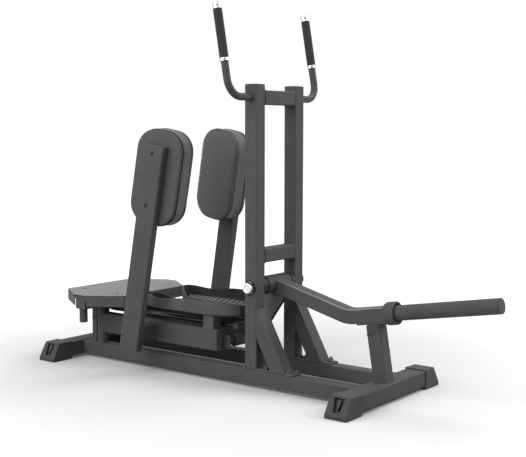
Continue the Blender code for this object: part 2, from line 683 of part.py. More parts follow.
def build_bumper(root, paint, rubber):
    """Post square to the lever's second leg, with a rubber cap that the contact plate rests on."""
    _, _, rising, knee = lever_line()
    upward = Vector((-math.sin(HORN_RISE), 0, math.cos(HORN_RISE)))
    foot = Vector((BUMPER_POST_X, 0, CROSSBAR_TOP))
    seat = knee - upward * (TUBE / 2 + FIT + CONTACT_PLATE)
    height = (seat - foot).dot(upward)
    low = foot + upward * (height - BUMPER_CAP)
    tilt = math.tan(HORN_RISE)
    bm = square_tube(foot, low - upward * FIT, (1, 0, 0))
    for vertex in bm.verts:
        if (vertex.co - foot).dot(upward) < height / 2:
            vertex.co += upward * ((CROSSBAR_TOP + FIT - vertex.co.z) / upward.z)
    add_object("bumper_post", bm, paint, root)
    rises = (0.0, 0.0), (0.0, BUMPER_CAP - 0.0040), (0.0012, BUMPER_CAP - 0.0012), (0.0040, BUMPER_CAP)
    loops = [rounded_rectangle(TUBE - 2 * inset, TUBE - 2 * inset, TUBE_CORNER) for inset, _ in rises]
    places = [station(low + upward * rise, upward, (1, 0, 0)) for _, rise in rises]
    add_object("bumper_cap", sweep(loops, places), rubber, root)


def build_platform(root, paint, sheet_paint, rubber):
    """Folded sheet: its lips turn down on every edge but the two short ends."""
    lip_z = PLATFORM_TOP - PLATFORM_LIP
    half = [(PLATFORM_REAR_X, PLATFORM_CORNER_Y), (PLATFORM_END_REAR_X, PLATFORM_END_Y)]
    half += [(PLATFORM_END_FRONT_X, PLATFORM_END_Y), (PLATFORM_FRONT_X, PLATFORM_CORNER_Y)]
    corners = half + [(x, -y) for x, y in reversed(half)]
    bm = bmesh.new()
    top = [bm.verts.new((x, y, PLATFORM_TOP)) for x, y in corners]
    bm.faces.new(top)
    for chain in ((1, 0, 7, 6), (2, 3, 4, 5)):
        lower = []
        for place, index in enumerate(chain):
            point = Vector((*corners[index], lip_z))
            if place in (0, 3):
                inner = Vector((*corners[chain[1 if place == 0 else 2]], lip_z))
                point += (inner - point).normalized() * PLATFORM_RELIEF
            lower.append(bm.verts.new(point))
        for i in range(3):
            bm.faces.new((top[chain[i]], top[chain[i + 1]], lower[i + 1], lower[i]))
    bmesh.ops.recalc_face_normals(bm, faces=bm.faces)
    if bm.faces[0].normal.z < 0:
        bmesh.ops.reverse_faces(bm, faces=bm.faces)
    mesh = bpy.data.meshes.new("platform_sheet")
    bm.to_mesh(mesh)
    bm.free()
    mesh.materials.append(sheet_paint)
    sheet = bpy.data.objects.new("platform_sheet", mesh)
    sheet.parent = root
    bpy.context.scene.collection.objects.link(sheet)
    thickness = sheet.modifiers.new("sheet", "SOLIDIFY")
    thickness.thickness = PLATFORM_SHEET
    thickness.offset = -1
    thickness.solidify_mode = "NON_MANIFOLD"
    thickness.nonmanifold_thickness_mode = "CONSTRAINTS"

    z = PLATFORM_TUBE_BOTTOM + TUBE / 2
    start = (PLATFORM_TUBE_X, -PLATFORM_TUBE_REACH, z)
    end = (PLATFORM_TUBE_X, PLATFORM_TUBE_REACH, z)
    add_object("platform_tube", square_tube(start, end, (0, 0, 1)), paint, root)
    for word, side in SIDES.items():
        y = FRAME_WIDTH / 2 - TUBE + COLUMN_WIDTH / 2
        start = (COLUMN_X, y, RAIL_TOP + FIT)
        end = (COLUMN_X, y, PLATFORM_TUBE_TOP)
        bm = square_tube(start, end, (1, 0, 0), COLUMN_WIDTH, COLUMN_DEPTH)
        add_object(f"platform_column_{word}", bm, paint, root, side)
        place = station((PLATFORM_TUBE_X, STOP_Y, PLATFORM_TUBE_BOTTOM - FIT - STOP_LENGTH), (0, 0, 1), (1, 0, 0))
        edge = STOP_DIAMETER / 2
        profile = [(0, 0), (edge - 0.0020, 0), (edge, 0.0020), (edge, STOP_LENGTH - 0.0010)]
        profile += [(edge - 0.0010, STOP_LENGTH), (0, STOP_LENGTH)]
        add_object(f"arm_stop_{word}", revolve(profile, place), rubber, root, side)
        place = station((ARM_X, ARM_Y, RAIL_TOP + FIT), (0, 0, 1), (1, 0, 0))
        shaft = SHAFT_DIAMETER / 2
        flange = SHAFT_FLANGE_DIAMETER / 2
        step = SLEEVE_BOTTOM - FIT - RAIL_TOP - FIT
        over = SLEEVE_TOP + FIT - RAIL_TOP - FIT
        top = PLATFORM_TUBE_BOTTOM - FIT - RAIL_TOP - FIT
        profile = [(0, 0), (flange, 0), (flange, step), (shaft, step), (shaft, over)]
        profile += [(shaft + 0.0040, over), (shaft + 0.0040, top), (0, top)]
        add_object(f"pivot_shaft_{word}", revolve(profile, place), paint, root, side)


def lug_pin_place():
    return Vector((ARM_X - LUG_RADIUS * math.sin(LUG_ANGLE), ARM_Y - LUG_RADIUS * math.cos(LUG_ANGLE), 0))


def build_arm(word, side, arm, paint, rubber, foam, vinyl, board_paint):
    build_sleeve(word, side, arm, paint)
    start = (ARM_X, ARM_Y, ARM_BEAM_Z)
    end = (ARM_BEAM_FRONT, ARM_Y, ARM_BEAM_Z)
    bm = square_tube(start, end, (0, 0, 1), ARM_BEAM_WIDTH, ARM_BEAM_HEIGHT)
    beam = add_object(f"arm_beam_{word}", bm, paint, arm, side)
    around = cylinder(SLEEVE_DIAMETER + 2 * FIT, (ARM_X, ARM_Y, 0), (ARM_X, ARM_Y, SLEEVE_TOP * 1.2))
    add_boolean(beam, "DIFFERENCE", around, side)
    build_buffer(word, side, arm, rubber)
    build_pedal(word, side, arm, foam)
    build_post(word, side, arm, paint)
    build_pad(word, side, arm, board_paint, vinyl)


def build_sleeve(word, side, arm, paint):
    """Sleeve on the arm's shaft, with the lug and pin that drive its tie rod."""
    place = station((ARM_X, ARM_Y, SLEEVE_BOTTOM), (0, 0, 1), (1, 0, 0))
    bore = SHAFT_DIAMETER / 2 + RUNNING_GAP
    outer = SLEEVE_DIAMETER / 2
    height = SLEEVE_TOP - SLEEVE_BOTTOM
    profile = [(bore, 0), (outer - 0.001, 0), (outer, 0.001), (outer, height - 0.001), (outer - 0.001, height)]
    profile += [(bore, height)]
    sleeve = add_object(f"arm_sleeve_{word}", revolve(profile, place, ring=True), paint, arm, side)
    pin = lug_pin_place()
    eye_half = ROD_REAR_EYE_HEIGHT / 2
    plate_top = CRANK_PIN_Z - eye_half - LUG_GAP_BELOW
    plate_low = plate_top - LUG_PLATE
    inward = (pin - Vector((ARM_X, ARM_Y, 0))).normalized()
    loop = rounded_rectangle(LUG_WIDTH, LUG_PLATE, 0.0010, 1)
    z = (plate_top + plate_low) / 2
    start = Vector((ARM_X, ARM_Y, z)) + inward * (outer - 0.0030)
    add_boolean(sleeve, "UNION", straight(loop, start, pin + Vector((0, 0, z)), (0, 0, 1)), side)
    place = station(pin, (0, 0, 1), (1, 0, 0))
    edge = LUG_WIDTH / 2
    shank = LUG_PIN_DIAMETER / 2
    head_low = CRANK_PIN_Z + eye_half + LUG_GAP_ABOVE
    head_top = head_low + LUG_HEAD
    head = LUG_HEAD_DIAMETER / 2
    profile = [(0, plate_low), (edge, plate_low), (edge, plate_top), (shank, plate_top), (shank, head_low)]
    profile += [(head, head_low), (head, head_top - 0.001), (head - 0.001, head_top), (0, head_top)]
    add_boolean(sleeve, "UNION", revolve(profile, place, SMALL_ROUND), side)


def build_buffer(word, side, arm, rubber):
    """Bracket ahead of the beam with a rubber buffer that meets the other arm's buffer."""
    beam_inner = ARM_Y - ARM_BEAM_WIDTH / 2 - FIT
    face = beam_inner - BRACKET_PLATE
    rear = ARM_BEAM_FRONT - BRACKET_LAP
    outline = [(rear, BRACKET_BOTTOM), (BRACKET_FRONT, BRACKET_BOTTOM), (BRACKET_FRONT, BRACKET_TOP), (rear, BRACKET_TOP)]
    buffer = add_object(f"arm_buffer_{word}", plate(outline, face, beam_inner), rubber, arm, side)
    place = station((BUFFER_X, FIT / 2, BUFFER_Z), (0, 1, 0), (0, 0, 1))
    edge = BUFFER_DIAMETER / 2
    stem = BUFFER_STEM_DIAMETER / 2
    nut = BUFFER_NUT_DIAMETER / 2
    reach = face + BRACKET_PLATE / 2
    profile = [(0, 0), (edge - 0.0025, 0), (edge, 0.0025), (edge, BUFFER_RUBBER), (stem, BUFFER_RUBBER)]
    profile += [(stem, face - BUFFER_NUT), (nut, face - BUFFER_NUT), (nut, reach), (0, reach)]
    add_boolean(buffer, "UNION", revolve(profile, place, SMALL_ROUND), side)


def pedal_outline():
    """Rim of the left pedal, from the toe's inner corner round the heel.

    Each knot gives shares of the pedal's length, of its width and of the rim's rise.
    """
    knots = [(0.990, 0.077, 0.38), (0.921, 0.008, 0.07), (0.717, 0.0, 0.0), (0.501, 0.0, 0.0)]
    knots += [(0.340, 0.0, 0.08), (0.180, 0.060, 0.16), (0.112, 0.170, 0.46), (0.055, 0.310, 0.76)]
    knots += [(0.005, 0.520, 0.94), (0.010, 0.710, 0.98), (0.062, 0.870, 0.90), (0.190, 0.980, 0.69)]
    knots += [(0.330, 1.0, 0.80), (0.477, 1.0, 0.97), (0.688, 1.0, 0.97), (0.861, 0.885, 0.95)]
    knots += [(0.961, 0.615, 0.77), (1.0, 0.280, 0.58)]
    low = PEDAL_FLOOR + PEDAL_EDGE
    placed = []
    for along, across, rise in knots:
        x = PEDAL_REAR + (PEDAL_TOE - PEDAL_REAR) * along
        y = PEDAL_INNER + (PEDAL_OUTER - PEDAL_INNER) * across
        placed.append((x, y, low + PEDAL_RISE * rise))
    return closed_curve(placed, 4)


def build_pedal(word, side, arm, foam):
    """Moulded foot tray on a square leg; its wall is low on the side the foot comes from."""
    rim = pedal_outline()
    count = len(rim)
    inward = []
    for i in range(count):
        along = rim[(i + 1) % count] - rim[i - 1]
        inward.append(Vector((-along.y, along.x, 0)).normalized() * -1)
    rows = []
    bm = bmesh.new()
    levels = ((PEDAL_TUCK, PEDAL_UNDERSIDE), (0.0, PEDAL_UNDERSIDE + PEDAL_CHAMFER), (0.0, None))
    levels += ((PEDAL_WALL, None), (PEDAL_COVE, PEDAL_FLOOR))
    for inset, level in levels:
        row = []
        for point, normal in zip(rim, inward):
            place = point + normal * inset
            if level is not None:
                place.z = level
            row.append(bm.verts.new(place))
        rows.append(row)
    for first, second in zip(rows, rows[1:]):
        bridge(bm, first, second)
    for row in (rows[0], rows[-1]):
        face = bm.faces.new(row)
        bmesh.ops.triangulate(bm, faces=[face])
    pedal = add_object(f"foot_pedal_{word}", bm, foam, arm, side)
    outer = ARM_Y + ARM_BEAM_WIDTH / 2
    beam_top = ARM_BEAM_BOTTOM + ARM_BEAM_HEIGHT + FIT
    middle = (PEDAL_LEG_FRONT - PEDAL_LEG / 2, outer - PEDAL_LEG / 2)
    loop = rounded_rectangle(PEDAL_LEG, PEDAL_LEG, TUBE_CORNER)
    leg = straight(loop, (*middle, beam_top), (*middle, PEDAL_UNDERSIDE + 0.0060), (1, 0, 0))
    add_boolean(pedal, "UNION", leg, side)


def post_frame():
    """Axis, heading and outward direction of the left pad post, and the point it passes."""
    axis = Vector((POST_LEAN, -POST_DRAW_IN, 1)).normalized()
    outward = Vector((math.sin(POST_TOE_IN), math.cos(POST_TOE_IN), 0))
    outward = (outward - outward.dot(axis) * axis).normalized()
    heading = outward.cross(axis)
    return Vector((POST_X, POST_Y, POST_Z)), axis, heading, outward


def build_post(word, side, arm, paint):
    centre, axis, heading, outward = post_frame()
    low = centre + axis * ((POST_BOTTOM - POST_Z) / axis.z)
    high = centre + axis * ((POST_TOP - POST_Z) / axis.z)
    loop = rounded_rectangle(POST_DEPTH, POST_WIDTH, TUBE_CORNER)
    post = add_object(f"pad_post_{word}", straight(loop, low, high, outward), paint, arm, side)
    beam_face = ARM_Y + ARM_BEAM_WIDTH / 2 + FIT
    at_stub = centre + axis * ((STUB_Z - POST_Z) / axis.z)
    stub = square_tube((STUB_X, beam_face, STUB_Z), (STUB_X, at_stub.y, STUB_Z), (0, 0, 1))
    add_boolean(post, "UNION", stub, side)
    for z in (POST_BOLT_UPPER, POST_BOLT_LOWER):
        mouth = centre + axis * ((z - POST_Z) / axis.z) + outward * (POST_WIDTH / 2)
        sunk = outward * POST_BOLT_SUNK
        add_boolean(post, "DIFFERENCE", cylinder(POST_BOLT_BORE, mouth - sunk, mouth + sunk, SMALL_ROUND), side)


def build_pad(word, side, arm, board_paint, vinyl):
    """Board against the post's inner face and the cushion glued to it."""
    centre, axis, heading, outward = post_frame()
    middle = centre + axis * ((PAD_Z - POST_Z) / axis.z)
    board_face = middle - outward * (POST_WIDTH / 2 + FIT)
    board = ((0.0030, 0.0), (0.0, 0.0020), (0.0, BOARD_THICKNESS - 0.0010), (0.0010, BOARD_THICKNESS))
    loops = []
    places = []
    for inset, depth in board:
        inset += BOARD_MARGIN
        loops.append(rounded_rectangle(PAD_WIDTH - 2 * inset, PAD_LENGTH - 2 * inset, PAD_CORNER - inset, 8))
        places.append(station(board_face - outward * depth, -outward, axis))
    add_object(f"pad_board_{word}", sweep(loops, places), board_paint, arm, side)
    cushion_face = board_face - outward * (BOARD_THICKNESS + FIT)
    thick = CUSHION_THICKNESS
    shape = ((0.0050, 0.0), (0.0012, 0.0025), (0.0, 0.0090), (0.0018, thick * 0.30), (0.0022, thick * 0.50))
    shape += ((0.0012, thick * 0.66), (0.0, thick * 0.78), (0.0022, thick * 0.87), (0.0080, thick * 0.945))
    shape += ((0.0180, thick * 0.985), (0.0340, thick + CUSHION_CROWN * 0.5), (0.0520, thick + CUSHION_CROWN))
    loops = []
    places = []
    for inset, depth in shape:
        radius = max(PAD_CORNER - inset, 0.0040)
        loops.append(rounded_rectangle(PAD_WIDTH - 2 * inset, PAD_LENGTH - 2 * inset, radius, 8))
        places.append(station(cushion_face - outward * depth, -outward, axis))
    add_object(f"pad_cushion_{word}", sweep(loops, places), vinyl, arm, side)


def build_rod(word, side, rod, steel):
    """Tie rod: an eye across the crank pin in front, an open eye over the lug pin behind."""
    rear = Vector((lug_pin_place().x, ROD_Y, CRANK_PIN_Z))
    front = Vector((CRANK_PIN_X, ROD_Y, CRANK_PIN_Z))
    length = front.x - rear.x
    bar_start = ROD_REAR_EYE / 2 + ROD_SHANK
    bar_end = length - ROD_FRONT_EYE / 2 - ROD_SHANK
    bar = ROD_DIAMETER / 2
    shank = ROD_SHANK_DIAMETER / 2
    profile = [(0, ROD_REAR_EYE * 0.40), (shank, ROD_REAR_EYE * 0.40), (shank, bar_start), (bar - 0.002, bar_start)]
    profile += [(bar, bar_start + 0.002), (bar, bar_end - 0.002), (bar - 0.002, bar_end), (shank, bar_end)]
    profile += [(shank, length - ROD_FRONT_EYE * 0.40), (0, length - ROD_FRONT_EYE * 0.40)]
    place = station(rear, (1, 0, 0), (0, 0, 1))
    tie = add_object(f"tie_rod_{word}", revolve(profile, place, SMALL_ROUND), steel, rod, side)
    half = ROD_EYE_WIDTH / 2
    edge = ROD_FRONT_EYE / 2
    solid = [(0, -half), (edge, -half), (edge, half), (0, half)]
    add_boolean(tie, "UNION", revolve(solid, station(front, (0, 1, 0), (0, 0, 1)), SMALL_ROUND), side)
    half = ROD_REAR_EYE_HEIGHT / 2
    edge = ROD_REAR_EYE / 2
    solid = [(0, -half), (edge, -half), (edge, half), (0, half)]
    add_boolean(tie, "UNION", revolve(solid, station(rear, (0, 0, 1), (1, 0, 0)), SMALL_ROUND), side)
    reach = Vector((0, ROD_EYE_WIDTH, 0))
    bore = CRANK_PIN_DIAMETER + 2 * RUNNING_GAP
    add_boolean(tie, "DIFFERENCE", cylinder(bore, front - reach, front + reach, SMALL_ROUND), side)
    reach = Vector((0, 0, ROD_REAR_EYE_HEIGHT))
    bore = LUG_PIN_DIAMETER + 2 * OPEN_PIVOT_GAP
    add_boolean(tie, "DIFFERENCE", cylinder(bore, rear - reach, rear + reach, SMALL_ROUND), side)


def main():
    for old in list(bpy.data.objects):
        bpy.data.objects.remove(old, do_unlink=True)

    paint = make_material("black paint", (0.030, 0.030, 0.032), 0.45, 0.10)
    sheet_paint = make_material("platform paint", (0.045, 0.045, 0.047), 0.40, 0.10)
    board_paint = make_material("pad board", (0.020, 0.020, 0.021), 0.60, 0.0)
    vinyl = make_material("pad vinyl", (0.022, 0.022, 0.024), 0.50, 0.0)
    foam = make_material("pedal and grip rubber", (0.018, 0.018, 0.018), 0.70, 0.0)
    rubber = make_material("stop and foot rubber", (0.028, 0.028, 0.028), 0.65, 0.0)
    plastic = make_material("tube cap plastic", (0.025, 0.025, 0.026), 0.50, 0.0)
    steel = make_material("dark steel", (0.040, 0.040, 0.042), 0.35, 0.60)
    polished = make_material("polished aluminium", (0.80, 0.80, 0.81), 0.22, 1.0)

    root = add_empty("machine", (0, 0, 0))
    lever = add_empty("lever pivot", (LEVER_X, 0, LEVER_Z), root)
    build_base(root, paint, rubber)
    build_uprights(root, paint, plastic)
    cut_uprights_for_axle()
    build_handles(root, paint, foam, polished)
    build_axle(root, steel, polished)
    build_lever(lever, paint, steel, rubber)
    build_bumper(root, paint, rubber)
    build_platform(root, paint, sheet_paint, rubber)
    for word, side in SIDES.items():
        arm = add_empty(f"arm pivot {word}", (ARM_X, side * ARM_Y, 0), root)
        rod = add_empty(f"rod pivot {word}", (CRANK_PIN_X, side * ROD_Y, CRANK_PIN_Z), lever)
        build_arm(word, side, arm, paint, rubber, foam, vinyl, board_paint)
        build_rod(word, side, rod, steel)

    rear_end = REAR_CROSSBAR_X - FOOT_CAP_DEPTH / 2
    _, _, rising, knee = lever_line()
    front_end = (knee + rising * (HORN_REACH + FIT + HORN_CAP_LENGTH)).x + HORN_DIAMETER / 2 * math.sin(HORN_RISE)
    root.location.x = -(rear_end + front_end) / 2
    print("machine shifted by", round(root.location.x, 6))


main()
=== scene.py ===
import math

import bmesh
import bpy
from mathutils import Matrix, Vector


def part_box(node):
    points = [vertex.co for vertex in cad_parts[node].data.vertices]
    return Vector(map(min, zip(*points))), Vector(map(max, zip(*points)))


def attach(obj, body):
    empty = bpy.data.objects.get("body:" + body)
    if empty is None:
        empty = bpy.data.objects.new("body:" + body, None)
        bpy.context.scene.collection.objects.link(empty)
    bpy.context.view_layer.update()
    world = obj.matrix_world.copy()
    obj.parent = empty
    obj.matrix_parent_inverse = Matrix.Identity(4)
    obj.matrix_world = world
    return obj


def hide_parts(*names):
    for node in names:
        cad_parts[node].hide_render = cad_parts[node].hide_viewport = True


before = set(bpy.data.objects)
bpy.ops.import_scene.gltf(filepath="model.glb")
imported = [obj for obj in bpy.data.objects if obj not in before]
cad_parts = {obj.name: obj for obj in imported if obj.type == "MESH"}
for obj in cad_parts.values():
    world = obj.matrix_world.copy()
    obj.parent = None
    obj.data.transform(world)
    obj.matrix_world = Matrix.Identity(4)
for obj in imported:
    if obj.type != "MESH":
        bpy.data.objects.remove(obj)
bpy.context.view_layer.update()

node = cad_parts
sides = (("left", 1.0), ("right", -1.0))    # the left pedal and pad are on +Y


def middle(name):
    low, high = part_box(name)
    return (Vector(low) + Vector(high)) / 2


uprightFront = middle("lever_axle").x + 0.0256    # X of the uprights' front faces
print("frame loaded")


# Shaders

class Signal:
    # one socket that can stand in a sum
    def __init__(self, graph, socket):
        self.graph = graph
        self.socket = socket

    def maths(self, operation, first, second):
        return self.graph.node("ShaderNodeMath", {"operation": operation}, {0: first, 1: second})

    def __add__(self, other):
        return self.maths("ADD", self, other)

    __radd__ = __add__

    def __sub__(self, other):
        return self.maths("SUBTRACT", self, other)

    def __rsub__(self, other):
        return self.maths("SUBTRACT", other, self)

    def __mul__(self, other):
        return self.maths("MULTIPLY", self, other)

    __rmul__ = __mul__

    def __gt__(self, other):
        return self.maths("GREATER_THAN", self, other)


class Graph:
    # the nodes of one material, or of the world
    def __init__(self, owner):
        owner.use_nodes = True
        self.owner = owner
        self.tree = owner.node_tree
        self.tree.nodes.clear()
        self.place = self.node("ShaderNodeTexCoord", out="Object")

    def node(self, kind, settings=None, sockets=None, out=0):
        made = self.tree.nodes.new(kind)
        for key, value in (settings or {}).items():
            if key == "stops":
                for stop, (position, level) in zip(made.color_ramp.elements, value):
                    stop.position = position
                    stop.color = grey(level)
            else:
                setattr(made, key, value)
        for key, value in (sockets or {}).items():
            if isinstance(value, Signal):
                self.tree.links.new(value.socket, made.inputs[key])
            else:
                made.inputs[key].default_value = value
        return Signal(self, made.outputs[out])

    def stretched(self, scale):
        return self.node("ShaderNodeMapping", {}, {"Vector": self.place, "Scale": scale})

    def noise(self, scale, detail=2.0, place=None):
        return self.node("ShaderNodeTexNoise", {}, {
            "Vector": place or self.place, "Scale": scale, "Detail": detail, "Roughness": 0.55})

    def ramp(self, value, low, high):
        return self.node("ShaderNodeValToRGB", {"stops": ((low, 0.0), (high, 1.0))}, {0: value})

    def mix(self, factor, first, second):
        sockets = {0: factor, 6: first, 7: second}
        return self.node("ShaderNodeMix", {"data_type": "RGBA"}, sockets, out=2)

    def most(self, first, second):
        return first.maths("MAXIMUM", first, second)

    def part(self, vector, axis):
        # axis 0, 1 or 2 is X, Y or Z
        return self.node("ShaderNodeSeparateXYZ", {}, {0: vector}, out=axis)

    def softened(self, reach):
        return self.node("ShaderNodeBevel", {"samples": 6}, {"Radius": reach})

    def edges(self, reach):
        # 0 on an open face, up to 1 along an edge, which the finishes lighten as wear and as a
        # painted highlight
        true = self.node("ShaderNodeNewGeometry", out="Normal")
        facing = self.node("ShaderNodeVectorMath", {"operation": "DOT_PRODUCT"},
                           {0: self.softened(reach), 1: true}, out="Value")
        return self.ramp(1.0 - facing, 0.02, 0.22)

    def bump(self, height, strength, distance, normal=None):
        sockets = {"Strength": strength, "Distance": distance, "Height": height}
        if normal is not None:
            sockets["Normal"] = normal
        return self.node("ShaderNodeBump", {}, sockets)

    def finish(self, surface, kind="ShaderNodeOutputMaterial"):
        end = self.tree.nodes.new(kind)
        self.tree.links.new(surface.socket, end.inputs["Surface"])
        return self.owner

    def coat(self, sockets):
        return self.finish(self.node("ShaderNodeBsdfPrincipled", {}, sockets))


def grey(level):
    return (level, level, level, 1.0)


def shade(tint, level):
    return tuple(channel * level for channel in tint) + (1.0,)


def coatedSteel(name, values):
    # powder coat: orange peel, faint clouds of colour, and edges lighter, partly as wear and partly
    # as a painted highlight;
    # with an axis, the faces that look along it get a tint of their own
    graph = Graph(bpy.data.materials.new(name))
    cloud = graph.ramp(graph.noise(9.0, 4.0), 0.32, 0.68)
    dust = graph.ramp(graph.noise(46.0, 5.0), 0.50, 0.78)
    peel = graph.noise(values["peelScale"], 2.0)
    edgeWearAndHighlight = graph.edges(values["edge"]) * graph.ramp(graph.noise(70.0, 3.0), 0.22, 0.56)
    edgeHighlightRise = graph.part(graph.softened(values["edge"]), 2)
    edgeWearAndHighlight = edgeWearAndHighlight * (0.30 + 1.5 * graph.ramp(edgeHighlightRise, 0.10, 0.45))    # upper edges get the most: a painted highlight
    colour = graph.mix(cloud, shade(values["tint"], 0.90), shade(values["tint"], 1.10))
    if "axis" in values:
        # on the crank plate the faces across the axis keep a near-black tint, which is painted
        # shade on its edges
        true = graph.node("ShaderNodeNewGeometry", out="True Normal")
        along = graph.part(true, values["axis"])
        flat = graph.mix(cloud, shade(values["flatTint"], 0.93), shade(values["flatTint"], 1.07))
        colour = graph.mix(along * along > 0.6, colour, flat)
    colour = graph.mix(dust * 0.25, colour, shade(values["tint"], 1.5))
    # edges lightened: partly wear, partly a painted highlight that is strongest on upper edges
    colour = graph.mix(edgeWearAndHighlight * values["wearAndHighlight"], colour, shade(values["tint"], 2.6))
    if "paintedHighlight" in values:    # a painted highlight along the long upper corners of a beam that runs front to back
        true = graph.node("ShaderNodeNewGeometry", out="True Normal")
        sideways, raised = graph.part(true, 1), graph.part(true, 2)
        corner = (raised > 0.15) * (sideways * sideways > 0.25)
        highlightColour = shade(values["tint"], values["paintedHighlight"])
        colour = graph.mix(corner * (0.55 + 0.45 * cloud), colour, highlightColour)
    return graph.coat({
        "Base Color": colour,
        "Roughness": values["roughness"] + 0.08 * (cloud - 0.5) + 0.10 * dust,
        "Specular IOR Level": values["gloss"],
        "Normal": graph.bump(peel, values["peel"], 0.0004, graph.softened(values["round"])),
    })


def padVinyl(name, values):
    # upholstery vinyl: leather grain with pits between the cells, and soft creases
    graph = Graph(bpy.data.materials.new(name))
    cells = graph.node("ShaderNodeTexVoronoi", {"feature": "DISTANCE_TO_EDGE"},
                       {"Vector": graph.place, "Scale": values["grain"], "Randomness": 1.0})
    grain = graph.ramp(cells, 0.02, 0.16)
    slack = graph.noise(24.0, 2.0)
    cloud = graph.ramp(graph.noise(11.0, 3.0), 0.30, 0.70)
    colour = graph.mix(grain, shade(values["tint"], 0.72), shade(values["tint"], 1.06))
    colour = graph.mix(cloud * 0.35, colour, shade(values["tint"], 1.22))
    creased = graph.bump(slack, 0.35, 0.004)
    return graph.coat({
        "Base Color": colour,
        "Roughness": values["roughness"] + 0.10 * (1.0 - grain) + 0.05 * (cloud - 0.5),
        "Specular IOR Level": values["gloss"],
        "Normal": graph.bump(grain, values["depth"], 0.0005, creased),
    })


def trayShadeMask(graph, values):
    # 1 on the floor and the inner walls of the pedals, which lie to both sides of the middle plane;
    # there the colour is darkened as painted shade
    true = graph.node("ShaderNodeNewGeometry", out="True Normal")
    facing = graph.node("ShaderNodeVectorTransform", {
        "vector_type": "NORMAL", "convert_from": "WORLD", "convert_to": "OBJECT"}, {0: true})
    across, height = graph.part(graph.place, 1), graph.part(graph.place, 2)
    turned, raised = graph.part(facing, 1), graph.part(facing, 2)
    centre = graph.node("ShaderNodeMath", {"operation": "SIGN"}, {0: across}) * values["centre"]
    wall = turned * (centre - across) > 0.0
    bottom = (raised > 0.7) * (values["level"] - height > 0.0)
    return graph.most(wall, bottom)


def mouldedRubber(name, values):
    # moulded rubber or plastic: fine stipple, with dusty patches, and painted shade on the floor
    # and inner walls of a pedal tray
    graph = Graph(bpy.data.materials.new(name))
    stipple = graph.noise(values["stipple"], 2.0)
    patches = graph.ramp(graph.noise(17.0, 4.0), 0.38, 0.72)
    edgeWearAndHighlight = graph.edges(values["edge"])
    colour = graph.mix(patches, shade(values["tint"], 0.86), shade(values["tint"], 1.18))
    if "inside" in values:
        # painted shade in the pedal's tray
        trayShade = graph.mix(patches, shade(values["inside"], 0.86), shade(values["inside"], 1.18))
        colour = graph.mix(trayShadeMask(graph, values), colour, trayShade)
    # edges lightened: partly wear, partly a painted highlight
    colour = graph.mix(edgeWearAndHighlight * values["wearAndHighlight"], colour, shade(values["tint"], 2.2))
    return graph.coat({
        "Base Color": colour,
        "Roughness": values["roughness"] + 0.08 * (patches - 0.5),
        "Specular IOR Level": values["gloss"],
        "Normal": graph.bump(stipple, values["depth"], 0.0004, graph.softened(values["round"])),
    })


def foamSleeve(name, values):
    # closed-cell foam: small open pores over a matt skin
    graph = Graph(bpy.data.materials.new(name))
    pores = graph.node("ShaderNodeTexVoronoi", {"feature": "F1"},
                       {"Vector": graph.place, "Scale": values["pores"], "Randomness": 1.0})
    skin = graph.ramp(pores, 0.12, 0.48)
    patches = graph.ramp(graph.noise(28.0, 3.0), 0.35, 0.70)
    colour = graph.mix(skin, shade(values["tint"], 0.55), shade(values["tint"], 1.0))
    colour = graph.mix(patches * 0.4, colour, shade(values["tint"], 1.35))
    return graph.coat({
        "Base Color": colour,
        "Roughness": values["roughness"] + 0.06 * (patches - 0.5),
        "Specular IOR Level": values["gloss"],
        "Normal": graph.bump(skin, values["depth"], 0.0006, graph.softened(values["round"])),
    })


def bareMetal(name, values):
    # turned or drawn metal: fine lines one way, with rubbed patches
    graph = Graph(bpy.data.materials.new(name))
    lines = graph.noise(values["lines"], 3.0, graph.stretched(values["stretch"]))
    patches = graph.ramp(graph.noise(38.0, 4.0), 0.36, 0.70)
    colour = graph.mix(patches, shade(values["tint"], 0.88), shade(values["tint"], 1.0))
    colour = graph.mix(lines * 0.5, colour, shade(values["tint"], 0.70))
    return graph.coat({
        "Base Color": colour,
        "Metallic": 1.0,
        "Roughness": values["roughness"] + 0.12 * (lines - 0.5) + 0.08 * patches,
        "Normal": graph.bump(lines, values["depth"], 0.0003, graph.softened(values["round"])),
    })


def screenBoard(name, values):
    # black backing board: film face with drawn streaks along its length
    graph = Graph(bpy.data.materials.new(name))
    streaks = graph.noise(60.0, 4.0, graph.stretched((1.0, 1.0, 0.16)))
    patches = graph.ramp(graph.noise(13.0, 3.0), 0.35, 0.68)
    stipple = graph.noise(900.0, 2.0)
    colour = graph.mix(streaks, shade(values["tint"], 0.80), shade(values["tint"], 1.25))
    colour = graph.mix(patches * 0.3, colour, shade(values["tint"], 1.4))
    return graph.coat({
        "Base Color": colour,
        "Roughness": values["roughness"] + 0.12 * (streaks - 0.5),
        "Specular IOR Level": values["gloss"],
        "Normal": graph.bump(stipple, values["depth"], 0.0003, graph.softened(values["round"])),
    })


